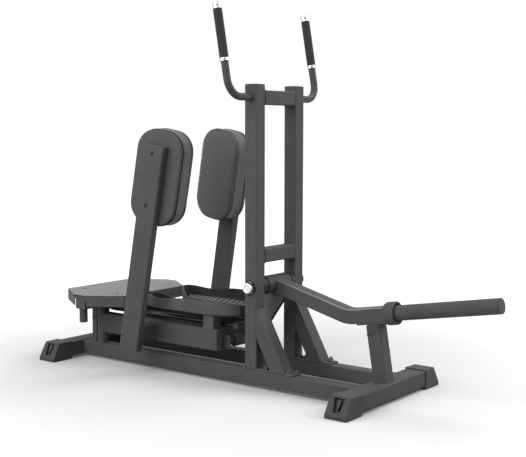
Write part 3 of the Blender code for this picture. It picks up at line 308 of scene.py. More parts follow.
frameCoat = dict(
    tint=(0.079, 0.079, 0.080), roughness=0.64, gloss=0.12, peelScale=820.0, peel=0.10,
    edge=0.0042, wearAndHighlight=0.55, round=0.0022)
finishes = {
    "paint": coatedSteel("charcoalPowderCoat", frameCoat),
    # the lever beam's paint, with a painted highlight along its upper corners
    "beam_highlight_paint": coatedSteel("leverBeamPaintedHighlight", dict(frameCoat, paintedHighlight=3.3)),
    "tube_paint": coatedSteel("handleTubePaint", dict(
        tint=(0.054, 0.054, 0.055), roughness=0.40, gloss=0.17, peelScale=820.0, peel=0.05,
        edge=0.0030, wearAndHighlight=0.20, round=0.0010)),
    "platform_paint": coatedSteel("platformPowderCoat", dict(
        tint=(0.090, 0.090, 0.091), roughness=0.66, gloss=0.14, peelScale=560.0, peel=0.22,
        edge=0.0022, wearAndHighlight=0.30, round=0.0020, axis=2, flatTint=(0.238, 0.238, 0.239))),
    # crank plate: its near-black edges are painted shade, and its faces are lightened against the
    # shade under the tube, which is painted light
    "crank_shade_paint": coatedSteel("crankPaintedShadeCoat", dict(
        tint=(0.011, 0.011, 0.011), roughness=0.60, gloss=0.15, peelScale=820.0, peel=0.10,
        edge=0.0010, wearAndHighlight=0.10, round=0.0010, axis=1, flatTint=(0.115, 0.115, 0.116))),
    "board": screenBoard("backingBoard", dict(
        tint=(0.078, 0.078, 0.079), roughness=0.60, gloss=0.18, depth=0.08, round=0.0020)),
    "vinyl": padVinyl("padVinyl", dict(
        tint=(0.092, 0.092, 0.093), roughness=0.42, gloss=0.26, grain=820.0, depth=0.30)),
    "pedal": mouldedRubber("pedalMoulding", dict(
        tint=(0.082, 0.082, 0.083), roughness=0.56, gloss=0.22, stipple=700.0, depth=0.16,
        edge=0.0018, wearAndHighlight=0.30, round=0.0022,
        # the tray's floor and inner walls take this tint as painted shade
        inside=(0.021, 0.021, 0.022), centre=0.0853, level=0.2430)),
    # the tread bars are tinted far lighter than the pedal moulding, a painted highlight for their
    # lit sides
    "tread": mouldedRubber("pedalTreadPaintedHighlight", dict(
        tint=(0.190, 0.190, 0.192), roughness=0.34, gloss=0.50, stipple=900.0, depth=0.06,
        edge=0.0008, wearAndHighlight=0.50, round=0.0008)),
    "foam": foamSleeve("gripFoam", dict(
        tint=(0.034, 0.034, 0.035), roughness=0.80, gloss=0.20, pores=1300.0, depth=0.30,
        round=0.0030)),
    "rubber": mouldedRubber("blackRubber", dict(
        tint=(0.052, 0.052, 0.053), roughness=0.60, gloss=0.25, stipple=620.0, depth=0.14,
        edge=0.0018, wearAndHighlight=0.25, round=0.0024)),
    "plastic": mouldedRubber("capPlastic", dict(
        tint=(0.040, 0.040, 0.041), roughness=0.45, gloss=0.35, stipple=900.0, depth=0.06,
        edge=0.0012, wearAndHighlight=0.18, round=0.0014)),
    "seal": mouldedRubber("axleSeal", dict(
        tint=(0.008, 0.008, 0.008), roughness=0.55, gloss=0.20, stipple=900.0, depth=0.06,
        edge=0.0008, wearAndHighlight=0.10, round=0.0008)),
    "dark_steel": bareMetal("darkSteel", dict(
        tint=(0.075, 0.075, 0.078), roughness=0.42, lines=260.0, stretch=(1.0, 0.10, 1.0),
        depth=0.12, round=0.0016)),
    "polished_aluminium": bareMetal("polishedAluminium", dict(
        tint=(0.72, 0.72, 0.73), roughness=0.22, lines=420.0, stretch=(1.0, 1.0, 1.0),
        depth=0.03, round=0.0016)),
}

ownFinish = {    # nodes whose finish isn't the one that their material names
    "foot_pedal_left": "pedal", "foot_pedal_right": "pedal", "crank_plate": "crank_shade_paint",
    "handle_tube_left": "tube_paint", "handle_tube_right": "tube_paint",
    "lever_pivot_tube": "tube_paint", "lever_beam": "beam_highlight_paint"}
for name, piece in node.items():
    slotName = piece.material_slots[0].material.name.split(".")[0]
    piece.material_slots[0].material = finishes[ownFinish.get(name, slotName)]
print("finishes made")


# Modelling

def only(piece):
    bpy.ops.object.select_all(action="DESELECT")
    piece.select_set(True)
    bpy.context.view_layer.objects.active = piece


def pick(kind, test):
    # selects, in edit mode, what passes the test
    bpy.ops.mesh.select_mode(type=kind)
    bpy.ops.mesh.select_all(action="DESELECT")
    mesh = bmesh.from_edit_mesh(bpy.context.object.data)
    for part in {"VERT": mesh.verts, "EDGE": mesh.edges, "FACE": mesh.faces}[kind]:
        part.select_set(test(part))
    mesh.select_flush_mode()
    bmesh.update_edit_mesh(bpy.context.object.data)


def edit(on):
    bpy.ops.object.mode_set(mode="EDIT" if on else "OBJECT")


def applied(piece, kind, **settings):
    only(piece)
    made = piece.modifiers.new(kind.lower(), kind)
    for key, value in settings.items():
        setattr(made, key, value)
    bpy.ops.object.modifier_apply(modifier=made.name)


def softEdges(piece, width):
    applied(piece, "BEVEL", width=width, segments=2, limit_method="ANGLE",
            angle_limit=math.radians(35))


def block(spot, size):
    # a new upright box, alone in the selection
    bpy.ops.object.select_all(action="DESELECT")
    bpy.ops.mesh.primitive_cube_add(size=1.0, location=spot, scale=size)
    bpy.ops.object.transform_apply(location=True, rotation=True, scale=True)
    return bpy.context.object


def runsAlong(edge, axis):
    return abs((edge.verts[0].co - edge.verts[1].co).normalized()[axis]) > 0.9


def disc(radius, depth, bottom, corners):
    # a new cylinder standing on the given height, in whichever mode is on
    bpy.ops.mesh.primitive_cylinder_add(vertices=corners, radius=radius, depth=depth,
                                        location=(0.0, 0.0, bottom + depth / 2))


def copied(master, spot, direction, turn=0.0):
    copy = bpy.data.objects.new(master.name, master.data.copy())
    bpy.context.scene.collection.objects.link(copy)
    aim = Vector(direction).to_track_quat("Z", "Y").to_matrix().to_4x4()
    copy.matrix_world = Matrix.Translation(spot) @ aim @ Matrix.Rotation(turn, 4, "Z")
    only(copy)
    bpy.ops.object.transform_apply(location=True, rotation=True, scale=True)
    return copy


def joined(pieces):
    bpy.ops.object.select_all(action="DESELECT")
    for piece in pieces:
        piece.select_set(True)
    bpy.context.view_layer.objects.active = pieces[0]
    if len(pieces) > 1:
        bpy.ops.object.join()
    return bpy.context.object


def done(piece, name, body, slotName, finish=None, smooth=38):
    piece.name = name
    piece.data.name = name
    piece.data.materials.clear()
    piece.data.materials.append(finishes[finish or slotName])
    only(piece)
    bpy.ops.object.shade_smooth_by_angle(angle=math.radians(smooth))
    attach(piece, body)


aside = 0.1    # how far off a surface a line towards it starts


def touch(name, start, direction):
    # where a line from start first meets a CAD node, and which way the surface faces there
    hit, spot, normal, _ = node[name].ray_cast(Vector(start), Vector(direction).normalized())
    if not hit:
        raise ValueError(f"no part of {name} lies that way")
    return spot, normal


def cutLoops(mesh, point, normal):
    # the closed outlines in which a plane cuts a mesh
    work = bmesh.new()
    work.from_mesh(mesh)
    bmesh.ops.remove_doubles(work, verts=work.verts, dist=0.00005)
    everything = work.verts[:] + work.edges[:] + work.faces[:]
    bmesh.ops.bisect_plane(work, geom=everything, dist=0.00001, plane_co=point, plane_no=normal,
                           clear_inner=True, clear_outer=True)
    loops = []
    left = dict.fromkeys(work.verts)    # keeps its order, so that every run starts each loop alike
    while left:
        here = next(iter(left))
        del left[here]
        loop = [here.co.copy()]
        while True:
            after = [edge.other_vert(here) for edge in here.link_edges
                     if edge.other_vert(here) in left]
            if not after:
                break
            here = after[0]
            del left[here]
            loop.append(here.co.copy())
        if len(loop) > 5:
            loops.append(loop)
    work.free()
    return loops


def even(loop, step):
    # the same closed loop with evenly spaced points
    legs = [(loop[i - 1], loop[i]) for i in range(len(loop))]
    total = sum((b - a).length for a, b in legs)
    count = max(12, round(total / step))
    points = []
    walked = 0.0
    for a, b in legs:
        length = (b - a).length
        while len(points) < count and len(points) * total / count <= walked + length:
            share = (len(points) * total / count - walked) / length if length else 0.0
            points.append(a.lerp(b, share))
        walked += length
    return points


def bead(loop, radius, step, lump=0.0):
    # a round bead along a closed loop, its thickness rippling by lump
    points = even(loop, step)
    curve = bpy.data.curves.new("bead", "CURVE")
    curve.dimensions = "3D"
    curve.bevel_depth = radius
    curve.bevel_resolution = 2
    curve.use_fill_caps = False
    line = curve.splines.new("POLY")
    line.points.add(len(points) - 1)
    line.use_cyclic_u = True
    for i, (knot, point) in enumerate(zip(line.points, points)):
        knot.co = (*point, 1.0)
        knot.radius = 1.0 + lump * math.sin(2.3 * i) * math.cos(0.71 * i)
    piece = bpy.data.objects.new("bead", curve)
    bpy.context.scene.collection.objects.link(piece)
    only(piece)
    bpy.ops.object.convert(target="MESH")
    piece = bpy.context.object
    edit(True)
    bpy.ops.mesh.select_all(action="SELECT")
    bpy.ops.mesh.remove_doubles(threshold=0.00002)
    bpy.ops.mesh.normals_make_consistent(inside=False)
    edit(False)
    return piece


def tidyUp(*masters):
    for master in masters:
        bpy.data.objects.remove(master)


def cutAway(piece, cutter):
    applied(piece, "BOOLEAN", operation="DIFFERENCE", object=cutter, solver="EXACT")
    tidyUp(cutter)


# Fasteners that repeat: each is modelled once, with its foot at height 0

hair = 0.0001    # what lies this near to a height counts as level with it


def hexBolt(name, values):
    disc(values["washer"], values["washerThick"], 0.0, 28)
    piece = bpy.context.object
    piece.name = name
    edit(True)
    disc(values["flats"] / math.sqrt(3.0), values["head"], values["washerThick"], 6)
    top = values["washerThick"] + values["head"]
    pick("FACE", lambda face: face.calc_center_median().z > top - hair)
    bpy.ops.mesh.inset(thickness=values["chamfer"])
    bpy.ops.transform.translate(value=(0.0, 0.0, values["chamfer"] * values["slope"]))
    if values["stud"]:    # the bolt's end stands out of its nut
        disc(values["thread"], values["stud"], top - 0.001, 16)
    edit(False)
    softEdges(piece, values["edge"])
    return piece


def socketScrew(name, values):
    disc(values["radius"], values["height"], 0.0, 28)
    piece = bpy.context.object
    piece.name = name
    edit(True)
    pick("EDGE", lambda edge: min(end.co.z for end in edge.verts) > values["height"] - hair)
    bpy.ops.mesh.bevel(offset=values["dome"], segments=3, profile=0.6)
    edit(False)
    disc(values["key"], values["height"], values["height"] * 0.45, 6)    # the hexagon key's socket
    cutAway(piece, bpy.context.object)
    return piece


bpy.context.view_layer.update()
boltValues = dict(flats=0.0150, head=0.0080, chamfer=0.0011, slope=0.55, washer=0.0102,
                  washerThick=0.0016, thread=0.0045, stud=0.0, edge=0.0003)
shortBolt = hexBolt("shortBolt", boltValues)
studBolt = hexBolt("studBolt", dict(boltValues, stud=0.0070))
smallBolt = hexBolt("smallBolt", dict(boltValues, flats=0.0110, head=0.0050, washer=0.0078))
domeScrew = socketScrew("domeScrew", dict(radius=0.0070, height=0.0030, dome=0.0016, key=0.0026))
boardScrew = socketScrew("boardScrew", dict(radius=0.0048, height=0.0022, dome=0.0013, key=0.0018))
setScrew = socketScrew("setScrew", dict(radius=0.0032, height=0.0012, dome=0.0004, key=0.0015))
print("fasteners modelled")

baseBoltValues = dict(    # how far each bolt lies ahead of the upright, and off the middle plane
    bolts=((studBolt, 0.1310, 0.1240), (shortBolt, 0.1425, 0.1010),
           (shortBolt, 0.0305, 0.1205), (shortBolt, 0.0185, 0.0985)),
    turn=0.35)
for side, sign in sides:
    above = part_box("upright_" + side)[0][2] + aside
    bolts = []
    for i, (master, forward, out) in enumerate(baseBoltValues["bolts"]):
        start = (uprightFront + forward, sign * out, above)
        spot, normal = touch("upright_" + side, start, (0, 0, -1))
        bolts.append(copied(master, spot, normal, baseBoltValues["turn"] * (i + 1)))
    done(joined(bolts), "base_bolts_" + side, "frame", "dark_steel", "paint")
print("base plate bolts placed")

platformScrewValues = dict(rear=(-0.843, 0.130), front=(-0.655, 0.140))
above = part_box("platform_sheet")[1][2] + aside
screws = []
for side, sign in sides:
    for back, out in platformScrewValues.values():
        spot, normal = touch("platform_sheet", (uprightFront + back, sign * out, above), (0, 0, -1))
        screws.append(copied(domeScrew, spot, normal))
done(joined(screws), "platform_screws", "frame", "platform_paint")

columnBoltValues = dict(height=0.155, turn=0.2)
for side, sign in sides:
    column = middle("platform_column_" + side)
    start = (column.x, column.y + sign * aside, columnBoltValues["height"])
    spot, normal = touch("platform_column_" + side, start, (0, -sign, 0))
    done(copied(smallBolt, spot, normal, columnBoltValues["turn"]), "column_bolt_" + side,
         "frame", "dark_steel", "paint")
print("platform fasteners placed")

plugValues = dict(thick=0.0022, corner=0.0060, inset=0.0004, rim=0.0040, dish=0.0006, edge=0.0005)
for side, sign in sides:
    low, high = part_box("platform_tube")
    centre = middle("platform_tube")
    end = high[1] if sign > 0 else low[1]
    size = high[0] - low[0] - 2 * plugValues["inset"]
    plug = block((centre.x, end + sign * plugValues["thick"] / 2, centre.z),
                 (size, plugValues["thick"], size))
    edit(True)
    pick("EDGE", lambda edge: runsAlong(edge, 1))
    bpy.ops.mesh.bevel(offset=plugValues["corner"], segments=5)
    pick("FACE", lambda face: face.normal.y * sign > 0.9)
    bpy.ops.mesh.inset(thickness=plugValues["rim"])
    bpy.ops.transform.translate(value=(0.0, -sign * plugValues["dish"], 0.0))
    edit(False)
    softEdges(plug, plugValues["edge"])
    done(plug, "tube_plug_" + side, "frame", "plastic")
print("tube ends plugged")


# The pads: each cushion is a skin over its foam, sewn along two lines and lightly blown up as cloth

def padFrame(side, sign):
    # the outward normal of the board, the pad's long way and the way across
    board = node["pad_board_" + side].data
    outer = [face for face in board.polygons if face.normal.y * sign > 0.5]
    normal = max(outer, key=lambda face: face.area).normal.copy()
    post = node["pad_post_" + side].data
    centre = middle("pad_post_" + side)
    upper = [corner.co for corner in post.vertices if corner.co.z > centre.z]
    lower = [corner.co for corner in post.vertices if corner.co.z <= centre.z]
    rise = sum(upper, Vector()) / len(upper) - sum(lower, Vector()) / len(lower)
    long = (rise - normal * rise.dot(normal)).normalized()
    return normal, long, long.cross(normal)


cushionValues = dict(
    outlineAt=0.22, outlineStep=0.0040, voxel=0.0038,
    pressure=1.0, frames=16, quality=5, stiffness=50.0, bending=8.0, most=0.0018,
    sewnBack=0.0040, sewnBand=0.0024, sewnSlope=0.6, backGap=0.0004,
    band=0.0125, groove=0.0007, grooveHalf=0.0036,
    seamStep=0.0030, stitch=0.0007, welt=0.0011, joint=0.0022)
cushionProfile = (    # how far in from the outline, and what share of the thickness from the board
    (0.0050, 0.000), (0.0014, 0.045), (0.0004, 0.150), (0.0014, 0.300), (0.0016, 0.500),
    (0.0008, 0.700), (0.0000, 0.800), (0.0002, 0.900), (0.0007, 0.945), (0.0020, 0.972),
    (0.0042, 0.983), (0.0090, 0.988), (0.0200, 0.992), (0.0350, 0.996), (0.0550, 0.999))


def inward(loop, centre, normal, amount):
    # a closed loop drawn in towards its centre by an even amount
    moved = []
    for i, point in enumerate(loop):
        along = (loop[(i + 1) % len(loop)] - loop[i - 1]).normalized()
        side = along.cross(normal)
        if side.dot(centre - point) < 0:
            side = -side
        moved.append(point + side * amount)
    return moved


def skin(name, loops, ring=False):
    # quads from each loop to the next; a ring joins the last to the first, any other form is capped
    mesh = bmesh.new()
    rows = [[mesh.verts.new(point) for point in loop] for loop in loops]
    pairs = list(zip(rows, rows[1:])) + ([(rows[-1], rows[0])] if ring else [])
    for first, second in pairs:
        for i in range(len(first)):
            mesh.faces.new((first[i - 1], first[i], second[i], second[i - 1]))
    if not ring:
        mesh.faces.new(rows[0])
        mesh.faces.new(rows[-1])
    bmesh.ops.recalc_face_normals(mesh, faces=mesh.faces[:])
    data = bpy.data.meshes.new(name)
    mesh.to_mesh(data)
    mesh.free()
    piece = bpy.data.objects.new(name, data)
    bpy.context.scene.collection.objects.link(piece)
    return piece


def blownUp(piece, sewn):
    # lets the skin fill as cloth, with the sewn corners held and no corner moved too far
    values = cushionValues
    start = [corner.co.copy() for corner in piece.data.vertices]
    held = piece.vertex_groups.new(name="sewn")
    held.add(sewn, 1.0, "ADD")
    cloth = piece.modifiers.new("cloth", "CLOTH")
    cloth.settings.quality = values["quality"]
    cloth.settings.use_pressure = True
    cloth.settings.uniform_pressure_force = values["pressure"]
    cloth.settings.tension_stiffness = values["stiffness"]
    cloth.settings.compression_stiffness = values["stiffness"]
    cloth.settings.bending_stiffness = values["bending"]
    cloth.settings.vertex_group_mass = held.name
    cloth.settings.effector_weights.gravity = 0.0
    cloth.point_cache.frame_start = 1
    cloth.point_cache.frame_end = values["frames"]
    for now in range(1, values["frames"] + 1):
        bpy.context.scene.frame_set(now)
    only(piece)
    bpy.ops.object.modifier_apply(modifier=cloth.name)
    bpy.context.scene.frame_set(1)
    for corner, before in zip(piece.data.vertices, start):
        moved = corner.co - before
        if moved.length > values["most"]:
            corner.co = before + moved.normalized() * values["most"]
    piece.vertex_groups.clear()


def makeCushion(side, sign):
    values = cushionValues
    normal, _, _ = padFrame(side, sign)
    foam = node["pad_cushion_" + side].data
    centre = middle("pad_cushion_" + side)
    reach = [corner.co.dot(normal) for corner in foam.vertices]
    back, front = max(reach), min(reach)    # the board is on the outward side
    thick = back - front
    cut = normal * (front + values["outlineAt"] * thick)
    outline = even(max(cutLoops(foam, cut, normal), key=len), values["outlineStep"])

    def atDepth(inset, share):
        level = back - share * thick
        flat = [point + normal * (level - point.dot(normal)) for point in outline]
        return inward(flat, centre, normal, inset)

    def seam(inset, share, radius):
        return bead(atDepth(inset, share), radius, values["seamStep"])

    piece = skin("cushion", [atDepth(inset, share) for inset, share in cushionProfile])
    applied(piece, "REMESH", mode="VOXEL", voxel_size=values["voxel"], adaptivity=0.0)
    line = front + values["band"]
    blownUp(piece, [
        i for i, corner in enumerate(piece.data.vertices)
        if corner.co.dot(normal) > back - values["sewnBack"]
        or (abs(corner.co.dot(normal) - line) < values["sewnBand"]
            and abs(corner.normal.dot(normal)) < values["sewnSlope"])])
    applied(piece, "SMOOTH", factor=0.5, iterations=1)
    applied(piece, "SUBSURF", levels=1, render_levels=1)
    for corner in piece.data.vertices:
        over = corner.co.dot(normal) - (back - values["backGap"])
        if over > 0:    # kept off the board
            corner.co -= normal * over
        off = abs(corner.co.dot(normal) - line)
        if off < values["grooveHalf"]:    # drawn in along the seam
            flatward = corner.normal - normal * corner.normal.dot(normal)
            depth = 1.0 + math.cos(off / values["grooveHalf"] * math.pi)
            corner.co -= flatward * values["groove"] * depth
    seams = [
        seam(0.0022, 0.975, values["stitch"]),    # along the edge of the face
        seam(0.0008, 1.0 - values["band"] / thick, values["welt"]),    # behind the band
        seam(0.0030, 0.010, values["joint"]),    # where the cushion meets its board
    ]
    done(joined(seams), "cushion_seams_" + side, "arm_" + side, "vinyl", "seal", smooth=60)
    done(piece, "cushion_" + side, "arm_" + side, "vinyl", smooth=75)
    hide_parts("pad_cushion_" + side)


for side, sign in sides:
    makeCushion(side, sign)
print("cushions made")

boardScrewValues = dict(across=0.0790, spacing=0.0840, turn=0.4)
postBoltValues = dict(heights=(0.790, 0.610))
for side, sign in sides:
    normal, long, across = padFrame(side, sign)
    screws = []
    centre = middle("pad_board_" + side)
    for column in (-boardScrewValues["across"], boardScrewValues["across"]):
        for row in (-1, 0, 1):
            spot = centre + across * column + long * row * boardScrewValues["spacing"]
            spot, facing = touch("pad_board_" + side, spot + normal * aside, -normal)
            screws.append(copied(boardScrew, spot, facing, boardScrewValues["turn"] * row))
    done(joined(screws), "board_screws_" + side, "arm_" + side, "dark_steel")
    bolts = []
    post = middle("pad_post_" + side)
    for height in postBoltValues["heights"]:
        spot = post + long * (height - post.z) / long.z
        spot, facing = touch("pad_post_" + side, spot + normal * aside, -normal)
        bolts.append(copied(domeScrew, spot, facing))
    done(joined(bolts), "post_bolts_" + side, "arm_" + side, "dark_steel")
print("pad fasteners placed")


# Pedals: short raised bars in staggered rows on the floor of each tray, where it is flat

treadValues = dict(length=0.0250, width=0.0038, rise=0.0022, slant=80.0, along=0.0250, apart=0.0270,
                   margin=0.0050, flat=0.0015, corner=0.45, crown=0.18, edge=0.35)


def makeTreads(side, sign):
    values = treadValues
    floor = "foot_pedal_" + side
    low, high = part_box(floor)
    above = high[2] + aside
    level, _ = touch(floor, ((low[0] + high[0]) / 2, (low[1] + high[1]) / 2, above), (0, 0, -1))
    bar = block((0, 0, 0), (values["length"], values["width"], values["rise"] * 2))
    edit(True)
    pick("EDGE", lambda edge: runsAlong(edge, 2))
    bpy.ops.mesh.bevel(offset=values["width"] * values["corner"], segments=3)
    pick("FACE", lambda face: face.normal.z > 0.9)
    bpy.ops.mesh.inset(thickness=values["width"] * values["crown"])
    edit(False)
    softEdges(bar, values["rise"] * values["edge"])
    bars = []
    turn = math.radians(values["slant"]) * sign
    half = Vector((math.cos(turn), math.sin(turn), 0)) * (values["length"] / 2 + values["margin"])
    wide = Vector((-math.sin(turn), math.cos(turn), 0)) * values["margin"]
    rows = int((high[1] - low[1]) / values["apart"])
    columns = int((high[0] - low[0]) / values["along"])
    for row in range(rows + 1):
        for column in range(columns + 1):
            spot = Vector((low[0] + (column + 0.5 * (row % 2)) * values["along"],
                           low[1] + row * values["apart"], above))
            flat = True
            for end in (spot, spot + half, spot - half, spot + wide, spot - wide):
                hit, where, _, _ = node[floor].ray_cast(end, Vector((0, 0, -1)))
                flat = flat and hit and abs(where.z - level.z) < values["flat"]
            if flat:
                spot.z = level.z
                bars.append(copied(bar, spot, (0, 0, 1), turn))
    tidyUp(bar)
    done(joined(bars), "pedal_treads_" + side, "arm_" + side, "foam", "tread")
    return len(bars)


for side, sign in sides:
    print("pedal", side, "has", makeTreads(side, sign), "tread bars")


# A thin lip runs round the foot of the front bumper's cap; small screws hold the handle parts

lipValues = dict(above=0.0032, thick=0.0016, proud=0.0036, clear=0.0002, step=0.0030, edge=0.0004)
up = Vector((0, 0, 1))
foot = Vector((*middle("bumper_cap").xy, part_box("bumper_cap")[0][2] + lipValues["above"]))
outline = cutLoops(node["bumper_cap"].data, Vector((0, 0, foot.z)), up)
outline = even(max(outline, key=len), lipValues["step"])
loops = []
for out, rise in (("clear", 0), ("proud", 0), ("proud", 1), ("clear", 1)):
    outer = inward(outline, foot, up, -lipValues[out])
    loops.append([point + up * rise * lipValues["thick"] for point in outer])
lip = skin("lip", loops, ring=True)
softEdges(lip, lipValues["edge"])
done(lip, "bumper_lip", "frame", "rubber")

gripScrewValues = dict(turns=(-55.0, 125.0))
for side, sign in sides:
    screws = []
    for part in ("handle_cap_", "handle_ring_"):
        centre = middle(part + side)
        for turn in gripScrewValues["turns"]:
            way = Vector((math.cos(math.radians(turn)), math.sin(math.radians(turn)), 0))
            spot, facing = touch(part + side, centre + way * aside, -way)
            screws.append(copied(setScrew, spot, facing))
    done(joined(screws), "handle_screws_" + side, "frame", "dark_steel", "seal")
print("small screws placed")


# The axle's end caps sit in black seals

def ring(name, outer, inner, depth, edge=0.0004):
    disc(outer, depth, 0.0, 48)
    piece = bpy.context.object
    piece.name = name
    disc(inner, depth * 3, -depth, 48)
    cutAway(piece, bpy.context.object)
    softEdges(piece, edge)
    return piece


sealValues = dict(lip=0.0026, lipThick=0.0030, sleeve=0.0012, sleeveEnd=0.0150, bore=0.0003)
for side, sign in sides:
    low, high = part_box("axle_cap_" + side)
    centre = middle("axle_cap_" + side)
    faceLow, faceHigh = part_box("upright_" + side)
    face = faceHigh[1] if sign > 0 else faceLow[1]
    radius = (high[2] - low[2]) / 2
    bore = radius + sealValues["bore"]
    lip = ring("lip", radius + sealValues["lip"], bore, sealValues["lipThick"])
    sleeve = ring("sleeve", radius + sealValues["sleeve"], bore, sealValues["sleeveEnd"])
    spot = Vector((centre.x, face, centre.z))
    parts = [copied(master, spot, (0, sign, 0)) for master in (lip, sleeve)]
    tidyUp(lip, sleeve)
    done(joined(parts), "axle_seal_" + side, "frame", "rubber", "seal")


# Black dust sleeves round the slim ends of the lever's pivot tube, up to its shoulder

sleeveValues = dict(thick=0.0007, bore=0.0001, clear=0.0004, inFrom=0.0060, off=0.0010,
                    rise=0.0015, step=0.0005)


def tubeRadius(y):
    centre = middle("lever_pivot_tube")
    spot, _ = touch("lever_pivot_tube", (centre.x, y, centre.z + aside), (0, 0, -1))
    return spot.z - centre.z


for side, sign in sides:
    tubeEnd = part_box("lever_pivot_tube")[1][1]
    shoulder = tubeEnd - sleeveValues["inFrom"]
    slim = tubeRadius(sign * shoulder)
    while tubeRadius(sign * shoulder) < slim + sleeveValues["rise"]:
        shoulder -= sleeveValues["step"]
    start = shoulder + sleeveValues["off"]
    length = tubeEnd - start - sleeveValues["clear"]
    master = ring("sleeve", slim + sleeveValues["thick"], slim + sleeveValues["bore"], length)
    centre = middle("lever_pivot_tube")
    spot = Vector((centre.x, sign * start, centre.z))
    done(copied(master, spot, (0, sign, 0)), "pivot_sleeve_" + side, "lever", "rubber", "seal")
    tidyUp(master)


# A rib that tapers downwards stands in the recess of each foot cap

ribValues = dict(top=0.0150, foot=0.0030, thick=0.0100, below=0.0014, start=0.17, end=0.70,
                 toe=0.0120, edge=0.0006)
ribMaster = block((0, 0, 0), (ribValues["top"], ribValues["thick"], 1.0))
edit(True)
pick("FACE", lambda face: face.normal.z < -0.9)
bpy.ops.transform.resize(value=(ribValues["foot"] / ribValues["top"], 1.0, 1.0))
edit(False)
for end in ("front", "rear"):
    for side, sign in sides:
        name = "foot_cap_" + end + "_" + side
        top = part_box(name)[1][2]
        raked = [face for face in node[name].data.polygons
                 if face.normal.y * sign > 0.5 and face.normal.z > 0.2]
        normal = max(raked, key=lambda face: face.area).normal.copy()
        level = max(corner.co.dot(normal) for corner in node[name].data.vertices)
        ends = []
        for share in (ribValues["start"], ribValues["end"]):
            z = top - share * (top - ribValues["toe"])
            ends.append(Vector((middle(name).x, (level - z * normal.z) / normal.y, z)))
        sideways = Vector((sign, 0, 0))
        turned = Matrix((sideways, normal, sideways.cross(normal))).transposed().to_4x4()
        stretched = Matrix.Diagonal((1, 1, (ends[0] - ends[1]).length, 1))
        spot = (ends[0] + ends[1]) / 2 - normal * (ribValues["below"] + ribValues["thick"] / 2)
        rib = bpy.data.objects.new("rib", ribMaster.data.copy())
        bpy.context.scene.collection.objects.link(rib)
        rib.matrix_world = Matrix.Translation(spot) @ turned @ stretched
        only(rib)
        bpy.ops.object.transform_apply(location=True, rotation=True, scale=True)
        softEdges(rib, ribValues["edge"])
        done(rib, "foot_rib_" + end + "_" + side, "frame", "rubber")
tidyUp(ribMaster)
print("seals and foot ribs made")


# Weld beads where the tubes meet

weldValues = dict(radius=0.0021, step=0.0032, ripple=0.30, tubeEnd=0.0016, railEnd=0.0012,
                  foot=0.0012, plate=0.0074)    # the uprights' beads lie on their base plates
beads = []


def weld(name, point, way):
    # a bead round each outline in which a plane cuts a tube
    for loop in cutLoops(node[name].data, Vector(point), Vector(way)):
        beads.append(bead(loop, weldValues["radius"], weldValues["step"], weldValues["ripple"]))


def weldFoot(name, above):
    weld(name, (0, 0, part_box(name)[0][2] + above), (0, 0, 1))


for name in ("cross_tube_top", "cross_tube_middle"):
    low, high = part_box(name)
    weld(name, (0, high[1] - weldValues["tubeEnd"], 0), (0, 1, 0))
    weld(name, (0, low[1] + weldValues["tubeEnd"], 0), (0, -1, 0))
weldFoot("bumper_post", weldValues["foot"])
for side, sign in sides:
    weldFoot("brace_" + side, weldValues["foot"])
    weldFoot("platform_column_" + side, weldValues["foot"])
    weldFoot("upright_" + side, weldValues["plate"])
    low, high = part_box("rail_" + side)
    for end in (low[0] + weldValues["railEnd"], high[0] - weldValues["railEnd"]):
        weld("rail_" + side, (end, 0, 0), (1, 0, 0))
done(joined(beads), "frame_welds", "frame", "paint", smooth=80)
print("welds laid")

tidyUp(shortBolt, studBolt, smallBolt, domeScrew, boardScrew, setScrew)


# Camera, lights and floor

viewValues = dict(azimuth=37.376, pitch=5.439, roll=0.0955, spot=(2.0834, -2.8265, 0.8700),
                  focal=1023.85, imageWidth=526.0, sensor=36.0)    # the focal length is in pixels
azimuth = math.radians(viewValues["azimuth"])
pitch = math.radians(viewValues["pitch"])
roll = math.radians(viewValues["roll"])
forward = Vector((-math.sin(azimuth) * math.cos(pitch), math.cos(azimuth) * math.cos(pitch),
                  -math.sin(pitch)))
across = Vector((math.cos(azimuth), math.sin(azimuth), 0.0))
upward = across.cross(forward)
turnedAcross = math.cos(roll) * across + math.sin(roll) * upward
turnedUp = -math.sin(roll) * across + math.cos(roll) * upward
lens = bpy.data.cameras.new("camera")
lens.sensor_width = viewValues["sensor"]
lens.lens = viewValues["focal"] * viewValues["sensor"] / viewValues["imageWidth"]
lens.clip_end = 200.0
camera = bpy.data.objects.new("camera", lens)
bpy.context.scene.collection.objects.link(camera)
turned = Matrix((turnedAcross, turnedUp, -forward)).transposed().to_4x4()
spot = Vector(viewValues["spot"]) + Vector((uprightFront, 0, 0))
camera.matrix_world = Matrix.Translation(spot) @ turned
bpy.context.scene.camera = camera

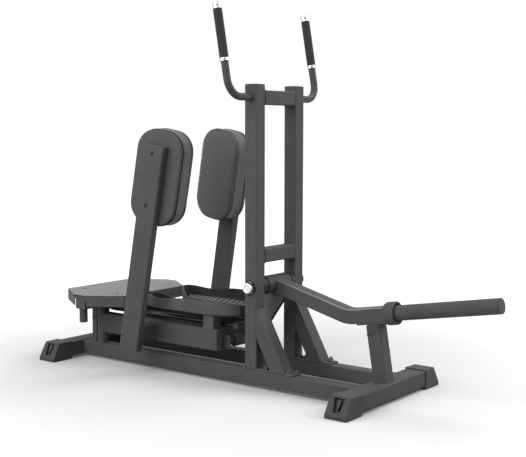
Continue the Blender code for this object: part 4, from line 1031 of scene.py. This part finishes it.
lampValues = {
    "keyLamp": dict(spot=(-0.8, -3.3, 2.4), size=4.2, power=120.0),
    "sideLamp": dict(spot=(3.2, 1.6, 2.5), size=1.8, power=62.0),
    "backLamp": dict(spot=(0.9, 1.8, 3.8), size=2.2, power=62.0),
    "topLamp": dict(spot=(0.0, 0.2, 3.8), size=3.2, power=6.0),
}
lampAim = Vector((0.0, 0.0, 0.45))
for name, values in lampValues.items():
    lamp = bpy.data.lights.new(name, "AREA")
    lamp.shape = "DISK"
    lamp.size = values["size"]
    lamp.energy = values["power"]
    holder = bpy.data.objects.new(name, lamp)
    bpy.context.scene.collection.objects.link(holder)
    holder.location = values["spot"]
    holder.rotation_euler = (lampAim - Vector(values["spot"])).to_track_quat("-Z", "Y").to_euler()


def seenStraight(graph):
    # 1 on rays from the camera, and on what metal and glass show
    straight, mirrored, through = (graph.node("ShaderNodeLightPath", out="Is " + ray + " Ray")
                                   for ray in ("Camera", "Glossy", "Transmission"))
    return graph.most(graph.most(straight, mirrored), through)


worldValues = dict(ambient=0.44, shown=1.0)
graph = Graph(bpy.data.worlds.new("studio"))
lit, shown = (
    graph.node("ShaderNodeBackground", {}, {"Color": grey(1.0), "Strength": worldValues[key]})
    for key in ("ambient", "shown"))
both = graph.node("ShaderNodeMixShader", {}, {0: seenStraight(graph), 1: lit, 2: shown})
bpy.context.scene.world = graph.finish(both, "ShaderNodeOutputWorld")

floorValues = dict(size=60.0, tint=0.73, bounced=0.39, lift=0.02, near=0.5, far=3.0, farLift=0.75)
bpy.ops.object.select_all(action="DESELECT")
bpy.ops.mesh.primitive_grid_add(x_subdivisions=12, y_subdivisions=12, size=floorValues["size"],
                                location=(0, 0, 0))
floor = bpy.context.object
floor.name = "floor"
graph = Graph(bpy.data.materials.new("paleFloor"))
thrown, pale = (graph.node("ShaderNodeBsdfDiffuse", {}, {"Color": grey(floorValues[key])})
                for key in ("bounced", "tint"))    # what falls back on the object, and what is seen
away = graph.node("ShaderNodeVectorMath", {"operation": "LENGTH"}, {0: graph.place}, out="Value")
rising = graph.node("ShaderNodeMapRange", {"interpolation_type": "SMOOTHSTEP"}, {
    "Value": away, "From Min": floorValues["near"], "From Max": floorValues["far"],
    "To Min": floorValues["lift"], "To Max": floorValues["farLift"]})
glow = graph.node("ShaderNodeEmission", {}, {"Color": rising})
seen = graph.node("ShaderNodeAddShader", {}, {0: pale, 1: glow})
both = graph.node("ShaderNodeMixShader", {}, {0: seenStraight(graph), 1: thrown, 2: seen})
floor.data.materials.append(graph.finish(both))

bpy.context.scene.view_settings.view_transform = "Standard"
print("camera, lamps and floor set")
